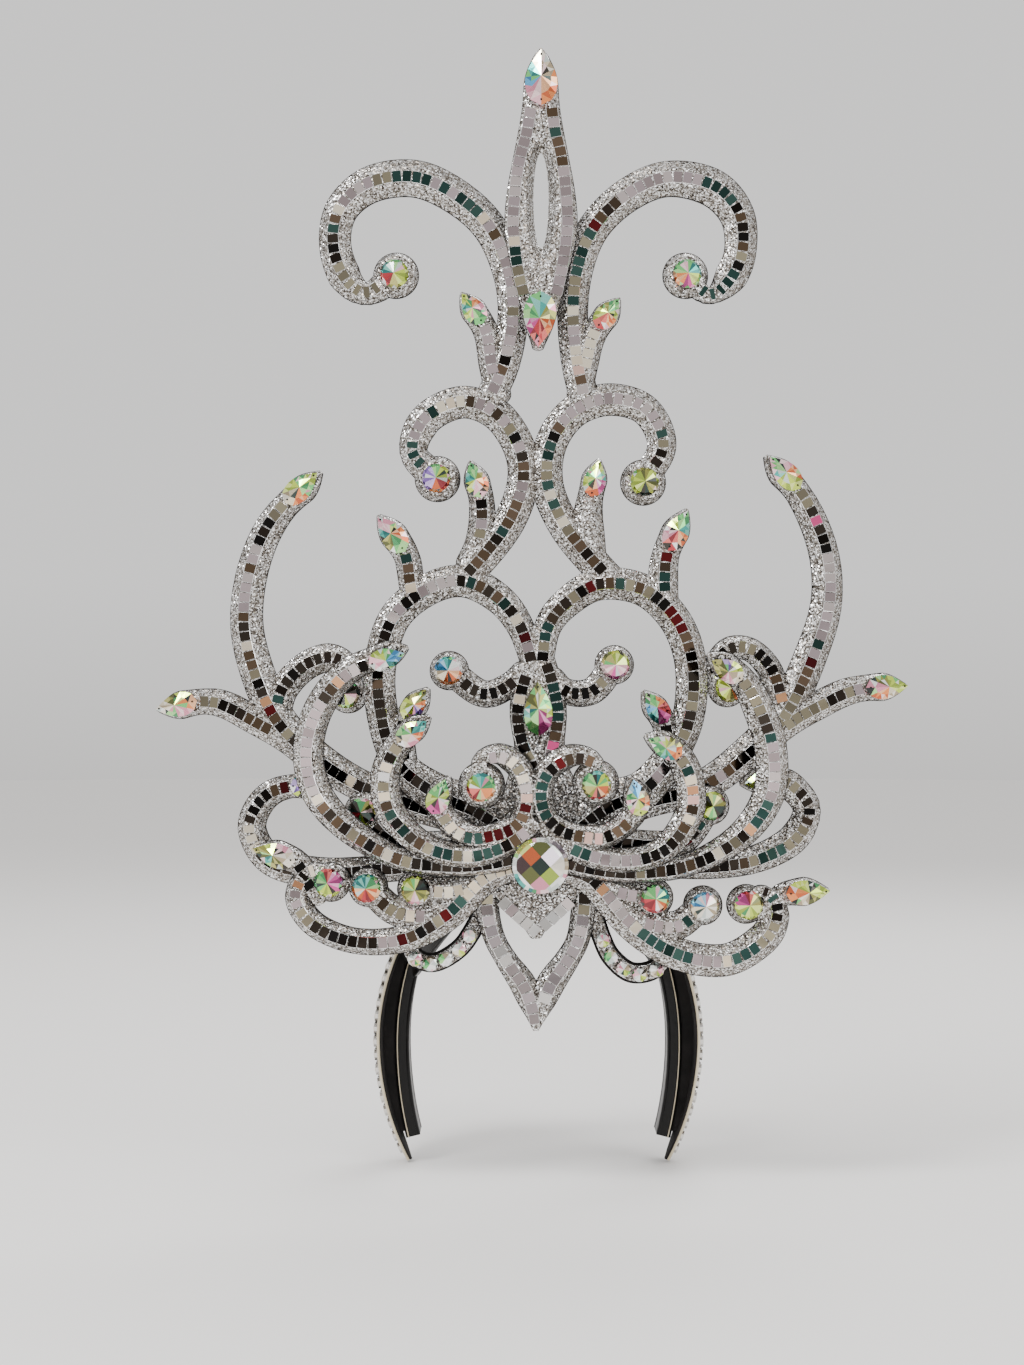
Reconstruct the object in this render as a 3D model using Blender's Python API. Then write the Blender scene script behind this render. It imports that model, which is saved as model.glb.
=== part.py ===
"""A carnival headdress: a lace-like crown of bevelled foam scrolls set with cut glass stones.

Metres, +Z up, the front is -Y. The origin is the seat at the crown of the head.
Each panel is drawn flat in X and Z, lies in its own layer in Y, and is then bowed round the brow.
"""
import math
from collections import namedtuple

import bmesh
import bpy
from mathutils import Matrix, Vector

# Driving sizes of the foam band that every scroll is cut from
BAND_WIDTH = 0.018
BAND_HEIGHT = 0.007
BAND_EDGE = 0.002
BAND_FLAT = 0.007
GAP = 0.0003

# Driving sizes of the panels, measured from the centre line and from the hub
RING_HALF = 0.088
RING_RISE = 0.160
MID_HALF = 0.070
MID_RISE = 0.098
TOP_HALF = 0.114
TOP_RISE = 0.122
FLEUR_HALF = 0.020
FLEUR_RISE = 0.166
FLEUR_START = 0.024
FLEUR_EYE_WIDTH = 0.0125
FLEUR_EYE_HEIGHT = 0.059
FLEUR_EYE_PLACE = (0.03, 0.50)
WING_HALF = 0.214
WING_RISE = 0.226
LOOP_HALF = 0.165
LOOP_RISE = 0.050
SPRAY_HALF = 0.160
SPRAY_DROP = 0.055
CRESCENT_HALF = 0.125
CRESCENT_RISE = 0.118
PETAL_HALF = 0.085
PETAL_RISE = 0.080
CUP_HALF = 0.060
CUP_RISE = 0.062
PENDANT_HALF = 0.035
PENDANT_DROP = 0.092
BROW_LOOP_HALF = 0.075
BROW_LOOP_DROP = 0.062
HUB_RADIUS = 0.0158

# How the panels bow back round the brow, and how far the tips of the crescents come forward
BOW_BACK = 0.020
BOW_HALF = 0.200
PETAL_REACH = 0.020

# Driving sizes of the headband under the panels
BROW_FRONT = 0.0842
BROW_BAND_HEIGHT = 0.025
BROW_BAND_THICKNESS = 0.004
BROW_BAND_SAG = 0.060
ARCH_HALF = 0.080
ARCH_CROWN = 0.112
ARCH_LEG = 0.055
ARCH_LEG_CURVE = 0.137
ARCH_WIDTH = 0.025
ARCH_THICKNESS = 0.008
LAPPET_THICKNESS = 0.003
LAPPET_CLEARANCE = 0.0006
LAPPET_FLARE = 0.0065
LAPPET_WIDTH = 0.062
LAPPET_DROP = 0.067
LAPPET_LEAD = 0.016
LAPPET_TOP_ANGLE = math.radians(42)

# Driving sizes of the stones
ROUND_RADIUS = 0.008
ROUND_HEIGHT = 0.0052
DISC_RIM = 0.003
WIDE_RIM = 0.0048
SMALL_DROP = (0.0205, 0.0125)
MEDIUM_DROP = (0.025, 0.0138)
LARGE_DROP = (0.031, 0.018)
LENS_DROP = (0.030, 0.0158)
DROP_HEIGHT = 0.0052
DROP_RIM = 0.0012
DROP_SHOULDER = 0.6
GIRDLE = 0.0014
GEM_RADIUS = 0.0152
GEM_HEIGHT = 0.009
GEM_LOWER_SHARE = 0.65
BEAD_RADIUS = 0.0042
BEAD_HEIGHT = 0.003

# The table of a stone as a share of its breadth, and of the gem's two rows of facets
ROUND_TABLE = 0.34
DROP_TABLE = 0.36
BEAD_TABLE = 0.4
GEM_LOWER_TABLE = 0.74
GEM_UPPER_TABLE = 0.6

# How a band widens into the pad under a drop, in shares of the drop's length and width
PAD_START = 0.6
PAD_BLEND = 0.5
PAD_FLAT = 0.85
PAD_TIP_FLAT = 0.4
PAD_STOPS = (1.1, 0.75, 0.5, 0.22)
TIGHT_FLAT = 0.72
DISC_SLOPE = 0.8

# The outline of a lappet: its breadth at the top, and how fast it narrows to its tip
LAPPET_TOP_SHARE = 0.18
LAPPET_TIP_SHARE = 0.08
LAPPET_FULLNESS = 0.7
LAPPET_FLARE_PLACE = 1.2

# Fineness of the faceted solids
TURN_STEP = math.radians(20)
LONG_STEP = 0.022
SMOOTH_STEPS = 10
TIGHT_SHARE = 0.65
LAY = 0.000004
DISC_SIDES = 12
ARCH_ROWS = 22
BROW_ROWS = 18
LAPPET_ROWS = 10
STONE_SIDES = 10
GEM_SIDES = 14
BEAD_SIDES = 8

# Layers from the back to the front, each one band height and a gap further out
WING_LAYER, TOWER_LAYER, LOOP_LAYER, SPRAY_LAYER, CRESCENT_LAYER, HEART_LAYER = range(6)

COLOURS = {
    "glitter_foam": ((0.52, 0.51, 0.50), 0.35, 0.75),
    "black_foam": ((0.012, 0.012, 0.013), 0.55, 0.0),
    "cut_glass": ((0.55, 0.72, 0.60), 0.06, 0.2),
    "mirror_scale": ((0.62, 0.64, 0.64), 0.2, 0.9),
}

# A sheet is the frame that a panel's shares are measured in: a share of 1 across is its half,
# a share of 1 up is its rise, counted from its base.
Sheet = namedtuple("Sheet", "layer half rise base forward")
SHEETS = {
    "ring": Sheet(TOWER_LAYER, RING_HALF, RING_RISE, 0.0, False),
    "mid": Sheet(TOWER_LAYER, MID_HALF, MID_RISE, RING_RISE, False),
    "top": Sheet(TOWER_LAYER, TOP_HALF, TOP_RISE, RING_RISE + MID_RISE, False),
    "fleur": Sheet(LOOP_LAYER, FLEUR_HALF, FLEUR_RISE, RING_RISE + MID_RISE + FLEUR_START, False),
    "wing": Sheet(WING_LAYER, WING_HALF, WING_RISE, 0.0, False),
    "loop": Sheet(LOOP_LAYER, LOOP_HALF, LOOP_RISE, 0.0, False),
    "spray": Sheet(SPRAY_LAYER, SPRAY_HALF, SPRAY_DROP, 0.0, False),
    "crescent": Sheet(CRESCENT_LAYER, CRESCENT_HALF, CRESCENT_RISE, 0.0, True),
    "petal": Sheet(HEART_LAYER, PETAL_HALF, PETAL_RISE, 0.0, True),
    "cup": Sheet(HEART_LAYER, CUP_HALF, CUP_RISE, 0.0, True),
    "pendant": Sheet(LOOP_LAYER, PENDANT_HALF, PENDANT_DROP, 0.0, False),
    "brow": Sheet(TOWER_LAYER, BROW_LOOP_HALF, BROW_LOOP_DROP, 0.0, False),
}

# The arches of the wings keep beside the ring in front of them. They begin this far out, in
# shares of the ring's half.
RING_CLEAR = 1.14


def beside_ring(share):
    """An across share of the wing, for a place between the ring's side and the wing's end."""
    inner = RING_CLEAR * RING_HALF
    return (inner + share * (WING_HALF - inner)) / WING_HALF


# The scrolls, one row each: its panel, its name, its sheet, what its end carries, and its
# stations from root to end. A station is (across, up, breadth) in shares of the sheet and of
# the band's width. An end is the rim of a disc round a stone, a pair of drop sizes, or None.
Scroll = namedtuple("Scroll", "panel name sheet end stations")
SCROLLS = [
    Scroll("tower", "ring_left", "ring", None, (
        (-0.09, 0.04, 0.9), (-0.36, 0.16, 1.6), (-0.64, 0.23, 1.25), (-0.89, 0.34, 1),
        (-0.99, 0.50, 1), (-1.01, 0.67, 1), (-0.92, 0.84, 1), (-0.71, 0.94, 1),
        (-0.48, 0.97, 1), (-0.26, 0.91, 0.95), (-0.12, 0.81, 0.85), (-0.04, 0.67, 0.7))),
    Scroll("tower", "ring_right", "ring", None, (
        (0.10, 0.04, 0.9), (0.38, 0.17, 1.6), (0.66, 0.25, 1.2), (0.86, 0.39, 1),
        (0.95, 0.53, 1), (0.95, 0.70, 1), (0.85, 0.84, 1), (0.65, 0.94, 1), (0.38, 0.96, 1),
        (0.18, 0.90, 0.95), (0.05, 0.81, 0.85), (0.01, 0.67, 0.7))),
    Scroll("tower", "lens", "ring", None, (
        (-0.02, 0.81, 0.35), (-0.01, 0.66, 1.2), (-0.01, 0.52, 1.65),
        (0.00, 0.37, 1.25), (0.01, 0.21, 1), (0.01, 0.06, 1))),
    Scroll("tower", "curl_left", "ring", DISC_RIM, (
        (-0.07, 0.68, 0.7), (-0.19, 0.61, 0.8), (-0.36, 0.58, 0.85), (-0.57, 0.66, 0.85))),
    Scroll("tower", "curl_right", "ring", DISC_RIM, (
        (0.05, 0.66, 0.7), (0.16, 0.59, 0.8), (0.33, 0.59, 0.85), (0.47, 0.68, 0.85))),
    Scroll("tower", "leaf_low_left", "ring", MEDIUM_DROP, (
        (-0.79, 0.89, 0.7), (-0.81, 0.96, 0.8), (-0.85, 1.07, 0.8), (-1.02, 1.20, 0.6))),
    Scroll("tower", "leaf_low_right", "ring", MEDIUM_DROP, (
        (0.80, 0.87, 0.8), (0.78, 0.95, 0.95), (0.80, 1.07, 0.85), (0.93, 1.22, 0.6))),
    Scroll("tower", "leaf_inner_left", "ring", SMALL_DROP, (
        (-0.80, 0.27, 0.7), (-0.85, 0.37, 0.7), (-0.85, 0.48, 0.75), (-0.70, 0.60, 0.6))),
    Scroll("tower", "leaf_inner_right", "ring", SMALL_DROP, (
        (0.74, 0.27, 0.7), (0.79, 0.37, 0.7), (0.78, 0.48, 0.75), (0.65, 0.59, 0.6))),
    Scroll("tower", "mid_left", "mid", WIDE_RIM, (
        (-0.71, -0.11, 0.9), (-0.46, 0.08, 1), (-0.24, 0.29, 1), (-0.13, 0.52, 1),
        (-0.17, 0.72, 1), (-0.35, 0.90, 1), (-0.62, 0.965, 1), (-0.90, 0.87, 1),
        (-1.00, 0.68, 1), (-0.81, 0.53, 0.9))),
    Scroll("tower", "mid_right", "mid", WIDE_RIM, (
        (0.66, -0.11, 0.9), (0.41, 0.07, 1), (0.19, 0.27, 1), (0.06, 0.50, 1),
        (0.09, 0.73, 1), (0.27, 0.91, 1), (0.55, 0.98, 1), (0.84, 0.92, 0.95),
        (0.97, 0.72, 0.9), (0.82, 0.51, 0.85))),
    Scroll("tower", "leaf_mid_left", "mid", SMALL_DROP, (
        (-0.60, 0.00, 0.8), (-0.48, 0.18, 0.85), (-0.46, 0.40, 0.8), (-0.55, 0.63, 0.6))),
    Scroll("tower", "leaf_mid_right", "mid", SMALL_DROP, (
        (0.42, 0.02, 0.9), (0.38, 0.19, 1.1), (0.39, 0.38, 0.85), (0.47, 0.64, 0.6))),
    Scroll("tower", "leaf_high_left", "mid", SMALL_DROP, (
        (-0.31, 0.95, 0.8), (-0.38, 1.17, 0.8), (-0.43, 1.37, 0.8), (-0.62, 1.58, 0.6))),
    Scroll("tower", "leaf_high_right", "mid", SMALL_DROP, (
        (0.30, 0.95, 0.8), (0.36, 1.17, 0.8), (0.43, 1.35, 0.8), (0.63, 1.55, 0.6))),
    Scroll("tower", "top_left", "top", WIDE_RIM, (
        (-0.25, -0.03, 0.9), (-0.17, 0.15, 0.95), (-0.13, 0.36, 0.95), (-0.15, 0.56, 1),
        (-0.24, 0.76, 1.05), (-0.395, 0.90, 1.1), (-0.60, 0.99, 1.15), (-0.82, 0.97, 1.15),
        (-0.965, 0.86, 1.05), (-1.00, 0.70, 1), (-0.945, 0.54, 1.05), (-0.84, 0.47, 1.05),
        (-0.70, 0.55, 0.9))),
    Scroll("tower", "top_right", "top", WIDE_RIM, (
        (0.22, -0.03, 0.9), (0.18, 0.15, 0.95), (0.16, 0.36, 0.95), (0.18, 0.57, 1),
        (0.26, 0.76, 1), (0.42, 0.91, 1.05), (0.62, 0.99, 1.1), (0.84, 0.955, 1.2),
        (0.965, 0.83, 1.1), (0.98, 0.66, 1), (0.92, 0.53, 1.05), (0.82, 0.46, 1),
        (0.71, 0.55, 0.9))),
    Scroll("fleur", "fleur", "fleur", None, (
        (0.03, 1.00, 0.2), (0.03, 0.92, 1), (0.03, 0.81, 1.15), (0.03, 0.66, 1.65),
        (0.03, 0.53, 2.1), (0.03, 0.40, 2.25), (0.00, 0.27, 1.75), (0.00, 0.15, 1.2),
        (-0.03, 0.06, 0.75), (-0.06, 0.00, 0.2))),
    Scroll("wing_left", "horn_left", "wing", MEDIUM_DROP, (
        (0.02, 0.02, 0.9), (-0.16, 0.09, 1), (-0.31, 0.13, 1), (-0.46, 0.18, 1),
        (-0.58, 0.25, 1.05), (-0.68, 0.34, 1.1), (-0.74, 0.46, 1.1), (-0.77, 0.59, 1.05),
        (-0.75, 0.73, 1), (-0.69, 0.85, 0.9), (-0.57, 0.96, 0.6))),
    Scroll("wing_left", "arm_left", "wing", MEDIUM_DROP, (
        (-0.57, 0.22, 0.8), (-0.65, 0.29, 0.9), (-0.74, 0.34, 0.9), (-0.86, 0.39, 0.85),
        (-1.01, 0.37, 0.6))),
    Scroll("wing_left", "arch_left", "wing", DISC_RIM, (
        (-beside_ring(0.417), 0.34, 0.8), (-beside_ring(0.379), 0.42, 0.9),
        (-beside_ring(0.266), 0.48, 0.9), (-beside_ring(0.134), 0.50, 0.9),
        (-beside_ring(0.040), 0.47, 0.8), (-beside_ring(0.059), 0.41, 0.7))),
    Scroll("wing_right", "horn_right", "wing", MEDIUM_DROP, (
        (-0.02, 0.02, 0.9), (0.13, 0.09, 1), (0.27, 0.14, 1), (0.42, 0.18, 1),
        (0.54, 0.26, 1.05), (0.64, 0.36, 1.1), (0.715, 0.51, 1.05), (0.755, 0.64, 1),
        (0.745, 0.77, 0.95), (0.685, 0.90, 0.85), (0.59, 1.00, 0.6))),
    Scroll("wing_right", "arm_right", "wing", MEDIUM_DROP, (
        (0.55, 0.25, 0.8), (0.64, 0.33, 0.9), (0.73, 0.38, 0.9), (0.83, 0.42, 0.85),
        (0.97, 0.43, 0.6))),
    Scroll("wing_right", "arch_right", "wing", DISC_RIM, (
        (beside_ring(0.332), 0.33, 0.8), (beside_ring(0.294), 0.41, 0.8),
        (beside_ring(0.247), 0.475, 0.8), (beside_ring(0.153), 0.52, 0.75),
        (beside_ring(0.040), 0.52, 0.75), (beside_ring(-0.026), 0.475, 0.7),
        (beside_ring(0.040), 0.425, 0.6))),
    Scroll("side_loop_left", "loop_left", "loop", SMALL_DROP, (
        (-0.29, -0.02, 0.8), (-0.52, -0.08, 0.85), (-0.73, -0.13, 0.95), (-0.90, -0.01, 0.95),
        (-0.97, 0.34, 0.9), (-0.935, 0.66, 0.85), (-0.85, 0.82, 0.75), (-0.70, 0.82, 0.6))),
    Scroll("side_loop_left", "tuck_left", "loop", DISC_RIM, (
        (-0.14, 0.27, 0.8), (-0.33, 0.18, 0.9), (-0.49, 0.22, 0.9), (-0.59, 0.55, 0.85))),
    Scroll("side_loop_right", "loop_right", "loop", SMALL_DROP, (
        (0.29, 0.01, 0.7), (0.50, -0.06, 0.75), (0.70, 0.00, 0.85), (0.845, 0.22, 0.95),
        (0.90, 0.55, 0.95), (0.855, 0.80, 0.9), (0.79, 0.90, 0.85), (0.67, 0.86, 0.6))),
    Scroll("side_loop_right", "tuck_right", "loop", DISC_RIM, (
        (0.14, 0.31, 0.8), (0.30, 0.20, 0.9), (0.47, 0.22, 0.9), (0.57, 0.62, 0.85))),
    Scroll("spray_left", "sweep_left", "spray", DISC_RIM, (
        (-0.07, -0.02, 0.8), (-0.19, -0.15, 1), (-0.32, -0.52, 1), (-0.46, -0.755, 0.85),
        (-0.63, -0.79, 0.8), (-0.77, -0.64, 0.8), (-0.835, -0.38, 0.8), (-0.81, -0.15, 0.7),
        (-0.76, -0.08, 0.65), (-0.72, -0.20, 0.65))),
    Scroll("spray_left", "tip_left", "spray", MEDIUM_DROP, (
        (-0.75, -0.42, 0.6), (-0.79, -0.22, 0.7), (-0.84, 0.00, 0.75), (-0.99, 0.14, 0.6))),
    Scroll("spray_left", "twig_left", "spray", DISC_RIM, (
        (-0.27, -0.46, 0.85), (-0.38, -0.53, 0.95), (-0.50, -0.48, 0.9), (-0.59, -0.25, 0.85))),
    Scroll("spray_left", "twiglet_left", "spray", DISC_RIM, (
        (-0.16, -0.13, 0.9), (-0.29, -0.28, 0.9), (-0.423, -0.265, 0.85))),
    Scroll("spray_right", "sweep_right", "spray", DISC_RIM, (
        (0.06, -0.04, 0.8), (0.18, -0.17, 1), (0.32, -0.63, 1), (0.47, -0.91, 1),
        (0.64, -0.98, 1), (0.77, -0.77, 1), (0.81, -0.54, 0.95), (0.80, -0.38, 0.8),
        (0.76, -0.29, 0.6), (0.71, -0.42, 0.6))),
    Scroll("spray_right", "tip_right", "spray", MEDIUM_DROP, (
        (0.76, -0.59, 0.7), (0.80, -0.42, 0.7), (0.85, -0.32, 0.7), (1.00, -0.29, 0.6))),
    Scroll("spray_right", "twig_right", "spray", DISC_RIM, (
        (0.26, -0.46, 0.9), (0.36, -0.60, 1), (0.47, -0.63, 0.9), (0.56, -0.43, 0.85))),
    Scroll("spray_right", "twiglet_right", "spray", DISC_RIM, (
        (0.16, -0.12, 0.9), (0.27, -0.29, 0.9), (0.39, -0.35, 0.85))),
    Scroll("crescent_left", "crescent_left", "crescent", SMALL_DROP, (
        (-0.04, 0.06, 0.6), (-0.18, 0.01, 0.65), (-0.38, -0.01, 0.65), (-0.61, 0.02, 0.7),
        (-0.83, 0.15, 0.85), (-0.975, 0.32, 0.95), (-1.015, 0.52, 0.93), (-0.96, 0.73, 0.9),
        (-0.82, 0.90, 0.8), (-0.57, 1.00, 0.6))),
    Scroll("crescent_right", "crescent_right", "crescent", SMALL_DROP, (
        (0.04, 0.04, 0.6), (0.17, -0.01, 0.65), (0.39, -0.04, 0.65), (0.64, -0.01, 0.7),
        (0.87, 0.12, 0.85), (1.00, 0.31, 1), (1.01, 0.53, 1), (0.95, 0.72, 0.95),
        (0.87, 0.86, 0.8), (0.72, 0.97, 0.6))),
    Scroll("heart", "petal_left", "petal", SMALL_DROP, (
        (-0.02, 0.29, 0.8), (-0.21, 0.14, 0.75), (-0.45, 0.06, 0.75), (-0.74, 0.13, 0.8),
        (-0.95, 0.35, 0.9), (-0.99, 0.61, 0.9), (-0.89, 0.84, 0.8), (-0.70, 1.01, 0.6))),
    Scroll("heart", "petal_right", "petal", SMALL_DROP, (
        (0.00, 0.29, 0.8), (0.19, 0.12, 0.75), (0.48, 0.03, 0.75), (0.77, 0.09, 0.8),
        (0.95, 0.34, 0.9), (0.95, 0.59, 0.9), (0.85, 0.78, 0.8), (0.66, 0.88, 0.6))),
    Scroll("heart", "cup_left", "cup", SMALL_DROP, (
        (-0.07, 0.42, 0.7), (-0.29, 0.30, 0.75), (-0.60, 0.24, 0.75), (-0.85, 0.40, 0.75),
        (-0.92, 0.57, 0.75), (-0.82, 0.78, 0.5))),
    Scroll("heart", "cup_right", "cup", SMALL_DROP, (
        (0.02, 0.42, 0.7), (0.23, 0.28, 0.75), (0.55, 0.24, 0.75), (0.81, 0.40, 0.75),
        (0.87, 0.57, 0.75), (0.80, 0.78, 0.5))),
    Scroll("heart", "cup_curl_left", "cup", DISC_RIM, (
        (-0.17, 0.35, 0.75), (-0.12, 0.59, 0.75), (-0.18, 0.83, 0.75), (-0.36, 0.97, 0.75),
        (-0.54, 0.92, 0.7), (-0.53, 0.70, 0.7))),
    Scroll("heart", "cup_curl_right", "cup", DISC_RIM, (
        (0.07, 0.36, 0.75), (0.00, 0.60, 0.75), (0.07, 0.83, 0.75), (0.28, 0.96, 0.75),
        (0.48, 0.92, 0.7), (0.50, 0.72, 0.7))),
    Scroll("pendant", "vee_left", "pendant", None, (
        (-0.82, -0.12, 0.69), (-0.825, -0.296, 0.69), (-0.72, -0.463, 0.6), (-0.51, -0.607, 0.58),
        (-0.30, -0.73, 0.64), (-0.16, -0.86, 0.5), (-0.063, -1.005, 0.1))),
    Scroll("pendant", "vee_right", "pendant", None, (
        (0.70, -0.12, 0.74), (0.68, -0.296, 0.74), (0.61, -0.463, 0.68), (0.45, -0.583, 0.68),
        (0.19, -0.73, 0.74), (0.05, -0.86, 0.5), (-0.063, -1.005, 0.1))),
    Scroll("pendant", "chevron", "pendant", None, (
        (-0.07, -0.08, 2.9), (-0.07, -0.20, 2.6), (-0.07, -0.33, 1.35), (-0.065, -0.455, 0.15))),
    Scroll("brow_loop_left", "brow_curl_left", "brow", None, (
        (-0.40, -0.39, 0.6), (-0.49, -0.61, 0.6), (-0.60, -0.79, 0.6), (-0.78, -0.91, 0.6),
        (-0.93, -0.85, 0.6), (-0.96, -0.66, 0.6))),
    Scroll("brow_loop_right", "brow_curl_right", "brow", None, (
        (0.38, -0.39, 0.6), (0.45, -0.66, 0.6), (0.53, -0.86, 0.62), (0.68, -1.00, 0.65),
        (0.86, -0.96, 0.62), (0.95, -0.76, 0.6))),
]

# Stones that lie along a scroll and not at its end: node, scroll, share of its length at the
# stone's middle, drop size, and which way its point looks along the scroll.
Inlay = namedtuple("Inlay", "node scroll share size turn")
INLAYS = [
    Inlay("drop_crest", "fleur", 0.10, LARGE_DROP, -1),
    Inlay("drop_fleur", "fleur", 0.90, LARGE_DROP, 1),
    Inlay("drop_lens", "lens", 0.375, LENS_DROP, -1),
]

# Beads glued on each brow loop, in shares of its length
BEAD_SHARES = (0.27, 0.41, 0.54, 0.67, 0.80, 0.93)


def start_collections():
    """Empty the scene and make one collection for the parts and one for the cutters."""
    for old in list(bpy.data.objects):
        bpy.data.objects.remove(old, do_unlink=True)
    made = []
    for title in ("carnival_headdress", "cutters"):
        collection = bpy.data.collections.new(title)
        bpy.context.scene.collection.children.link(collection)
        made.append(collection)
    return made


PARTS, CUTTERS = start_collections()


def finish_of(name):
    """One Principled material for each finish."""
    known = bpy.data.materials.get(name)
    if known:
        return known
    colour, roughness, metallic = COLOURS[name]
    material = bpy.data.materials.new(name)
    material.use_nodes = True
    shader = material.node_tree.nodes["Principled BSDF"]
    shader.inputs["Base Color"].default_value = (*colour, 1.0)
    shader.inputs["Roughness"].default_value = roughness
    shader.inputs["Metallic"].default_value = metallic
    material.diffuse_color = (*colour, 1.0)
    return material


def new_object(name, bm, finish, collection=PARTS):
    """Turn a bmesh into a named object with one material."""
    bmesh.ops.recalc_face_normals(bm, faces=bm.faces)
    mesh = bpy.data.meshes.new(name)
    bm.to_mesh(mesh)
    bm.free()
    mesh.materials.append(finish_of(finish))
    thing = bpy.data.objects.new(name, mesh)
    collection.objects.link(thing)
    return thing


def settle(thing):
    """Replace an object's mesh by its evaluated one, so its modifiers are applied."""
    graph = bpy.context.evaluated_depsgraph_get()
    mesh = bpy.data.meshes.new_from_object(thing.evaluated_get(graph))
    thing.modifiers.clear()
    thing.data = mesh


def boolean(thing, other, operation):
    """Join another object to this one or cut it away, and drop the other."""
    modifier = thing.modifiers.new("Boolean", "BOOLEAN")
    modifier.operation = operation
    modifier.solver = "EXACT"
    modifier.object = other
    settle(thing)
    bpy.data.objects.remove(other, do_unlink=True)


def layer_back(layer):
    """The plane that the backs of a layer lie in, at the centre line."""
    return -(BROW_FRONT + GAP) - layer * (BAND_HEIGHT + GAP)


def bow(x, z, forward):
    """How far a point is set back round the brow, less how far a petal brings it forward."""
    back = BOW_BACK * (x / BOW_HALF) ** 2
    if not forward:
        return back
    return back - PETAL_REACH * (max(z, 0.0) / CRESCENT_RISE) ** 2


def bow_slopes(x, z, forward):
    """The slopes of the bow across and up."""
    across = 2 * BOW_BACK * x / BOW_HALF ** 2
    if not forward:
        return across, 0.0
    return across, -2 * PETAL_REACH * max(z, 0.0) / CRESCENT_RISE ** 2


def drop_half(share, width):
    """Half the width of a drop at a share of its length from the point."""
    if share <= DROP_SHOULDER:
        return 0.5 * width * math.sin(0.5 * math.pi * share / DROP_SHOULDER)
    past = (share - DROP_SHOULDER) / (1 - DROP_SHOULDER)
    return 0.5 * width * math.sqrt(max(0.0, 1 - past ** 2))


class Spine:
    """The smooth middle line of a scroll in X and Z, with its breadth at each point."""

    def __init__(self, scroll):
        self.scroll = scroll
        self.sheet = SHEETS[scroll.sheet]
        knots = [Vector((across * self.sheet.half, self.sheet.base + up * self.sheet.rise,
                         breadth * BAND_WIDTH)) for across, up, breadth in scroll.stations]
        self.points = self.curve_through(knots)
        self.runs = [0.0]
        for here, ahead in zip(self.points, self.points[1:]):
            self.runs.append(self.runs[-1] + (ahead.xy - here.xy).length)
        self.length = self.runs[-1]

    @staticmethod
    def curve_through(knots):
        """A Catmull-Rom curve through the stations."""
        padded = [2 * knots[0] - knots[1], *knots, 2 * knots[-1] - knots[-2]]
        points = []
        for a, b, c, d in zip(padded, padded[1:], padded[2:], padded[3:]):
            for step in range(SMOOTH_STEPS):
                t = step / SMOOTH_STEPS
                points.append(0.5 * (2 * b + (c - a) * t + (2 * a - 5 * b + 4 * c - d) * t ** 2
                                     + (3 * b - a - 3 * c + d) * t ** 3))
        points.append(knots[-1])
        return points

    def at(self, run):
        """The point, the direction and the breadth at a length along the line."""
        run = min(max(run, 0.0), self.length)
        k = 0
        while k < len(self.runs) - 2 and self.runs[k + 1] < run:
            k += 1
        share = (run - self.runs[k]) / (self.runs[k + 1] - self.runs[k])
        here = self.points[k].lerp(self.points[k + 1], share)
        ahead = (self.points[k + 1].xy - self.points[k].xy).normalized()
        return here.xy, ahead, here.z

    def bend_radius(self, run):
        """The smallest radius that the line turns with near a length along it."""
        step = BAND_WIDTH / 6
        turns = [self.at(spot - step)[1].angle(self.at(spot + step)[1])
                 for spot in (run - 2 * step, run - step, run, run + step, run + 2 * step)]
        return 2 * step / max(*turns, 0.001)

    def section(self, run):
        """Half the breadth and half the flat top of the band, narrower where it turns tightly."""
        half = min(0.5 * self.at(run)[2], TIGHT_SHARE * self.bend_radius(run))
        slope = 0.5 * (BAND_WIDTH - BAND_FLAT)
        flat = max(half - slope, min(0.5 * BAND_FLAT, TIGHT_FLAT * half))
        if isinstance(self.scroll.end, tuple):
            length, width = self.scroll.end
            share = (self.length - run) / length
            blend = min(max((share - PAD_START) / PAD_BLEND, 0.0), 1.0)
            pad = drop_half(min(share, DROP_SHOULDER), width)
            half = (1 - blend) * (pad + DROP_RIM) + blend * half
            flat = (1 - blend) * max(PAD_FLAT * pad, PAD_TIP_FLAT * DROP_RIM) + blend * flat
        return half, flat

    def stops(self):
        """The lengths at which the band gets a section: where it has turned or run enough."""
        chosen = [0.0]
        heading = self.at(0.0)[1]
        for run in self.runs[1:-1]:
            ahead = self.at(run)[1]
            if heading.angle(ahead) > TURN_STEP or run - chosen[-1] > LONG_STEP:
                chosen.append(run)
                heading = ahead
        if isinstance(self.scroll.end, tuple):
            length = self.scroll.end[0]
            tip = [self.length - share * length for share in PAD_STOPS]
            chosen = [run for run in chosen if run < tip[0] - 0.2 * length] + tip
            return chosen + [self.length]
        last = self.length - (0.5 * ROUND_RADIUS if self.scroll.end else 0.0)
        chosen = [run for run in chosen if run < last - 0.2 * LONG_STEP]
        return chosen + [last]


def loft(name, sections, finish):
    """A closed solid through sections of as many corners each, whose shape changes along it."""
    bm = bmesh.new()
    rings = [[bm.verts.new(corner) for corner in section] for section in sections]
    for first, second in zip(rings, rings[1:]):
        for k in range(len(first)):
            follow = (k + 1) % len(first)
            bm.faces.new((first[k], first[follow], second[follow], second[k]))
    bm.faces.new(rings[0])
    bm.faces.new(rings[-1])
    return new_object(name, bm, finish)


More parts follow.
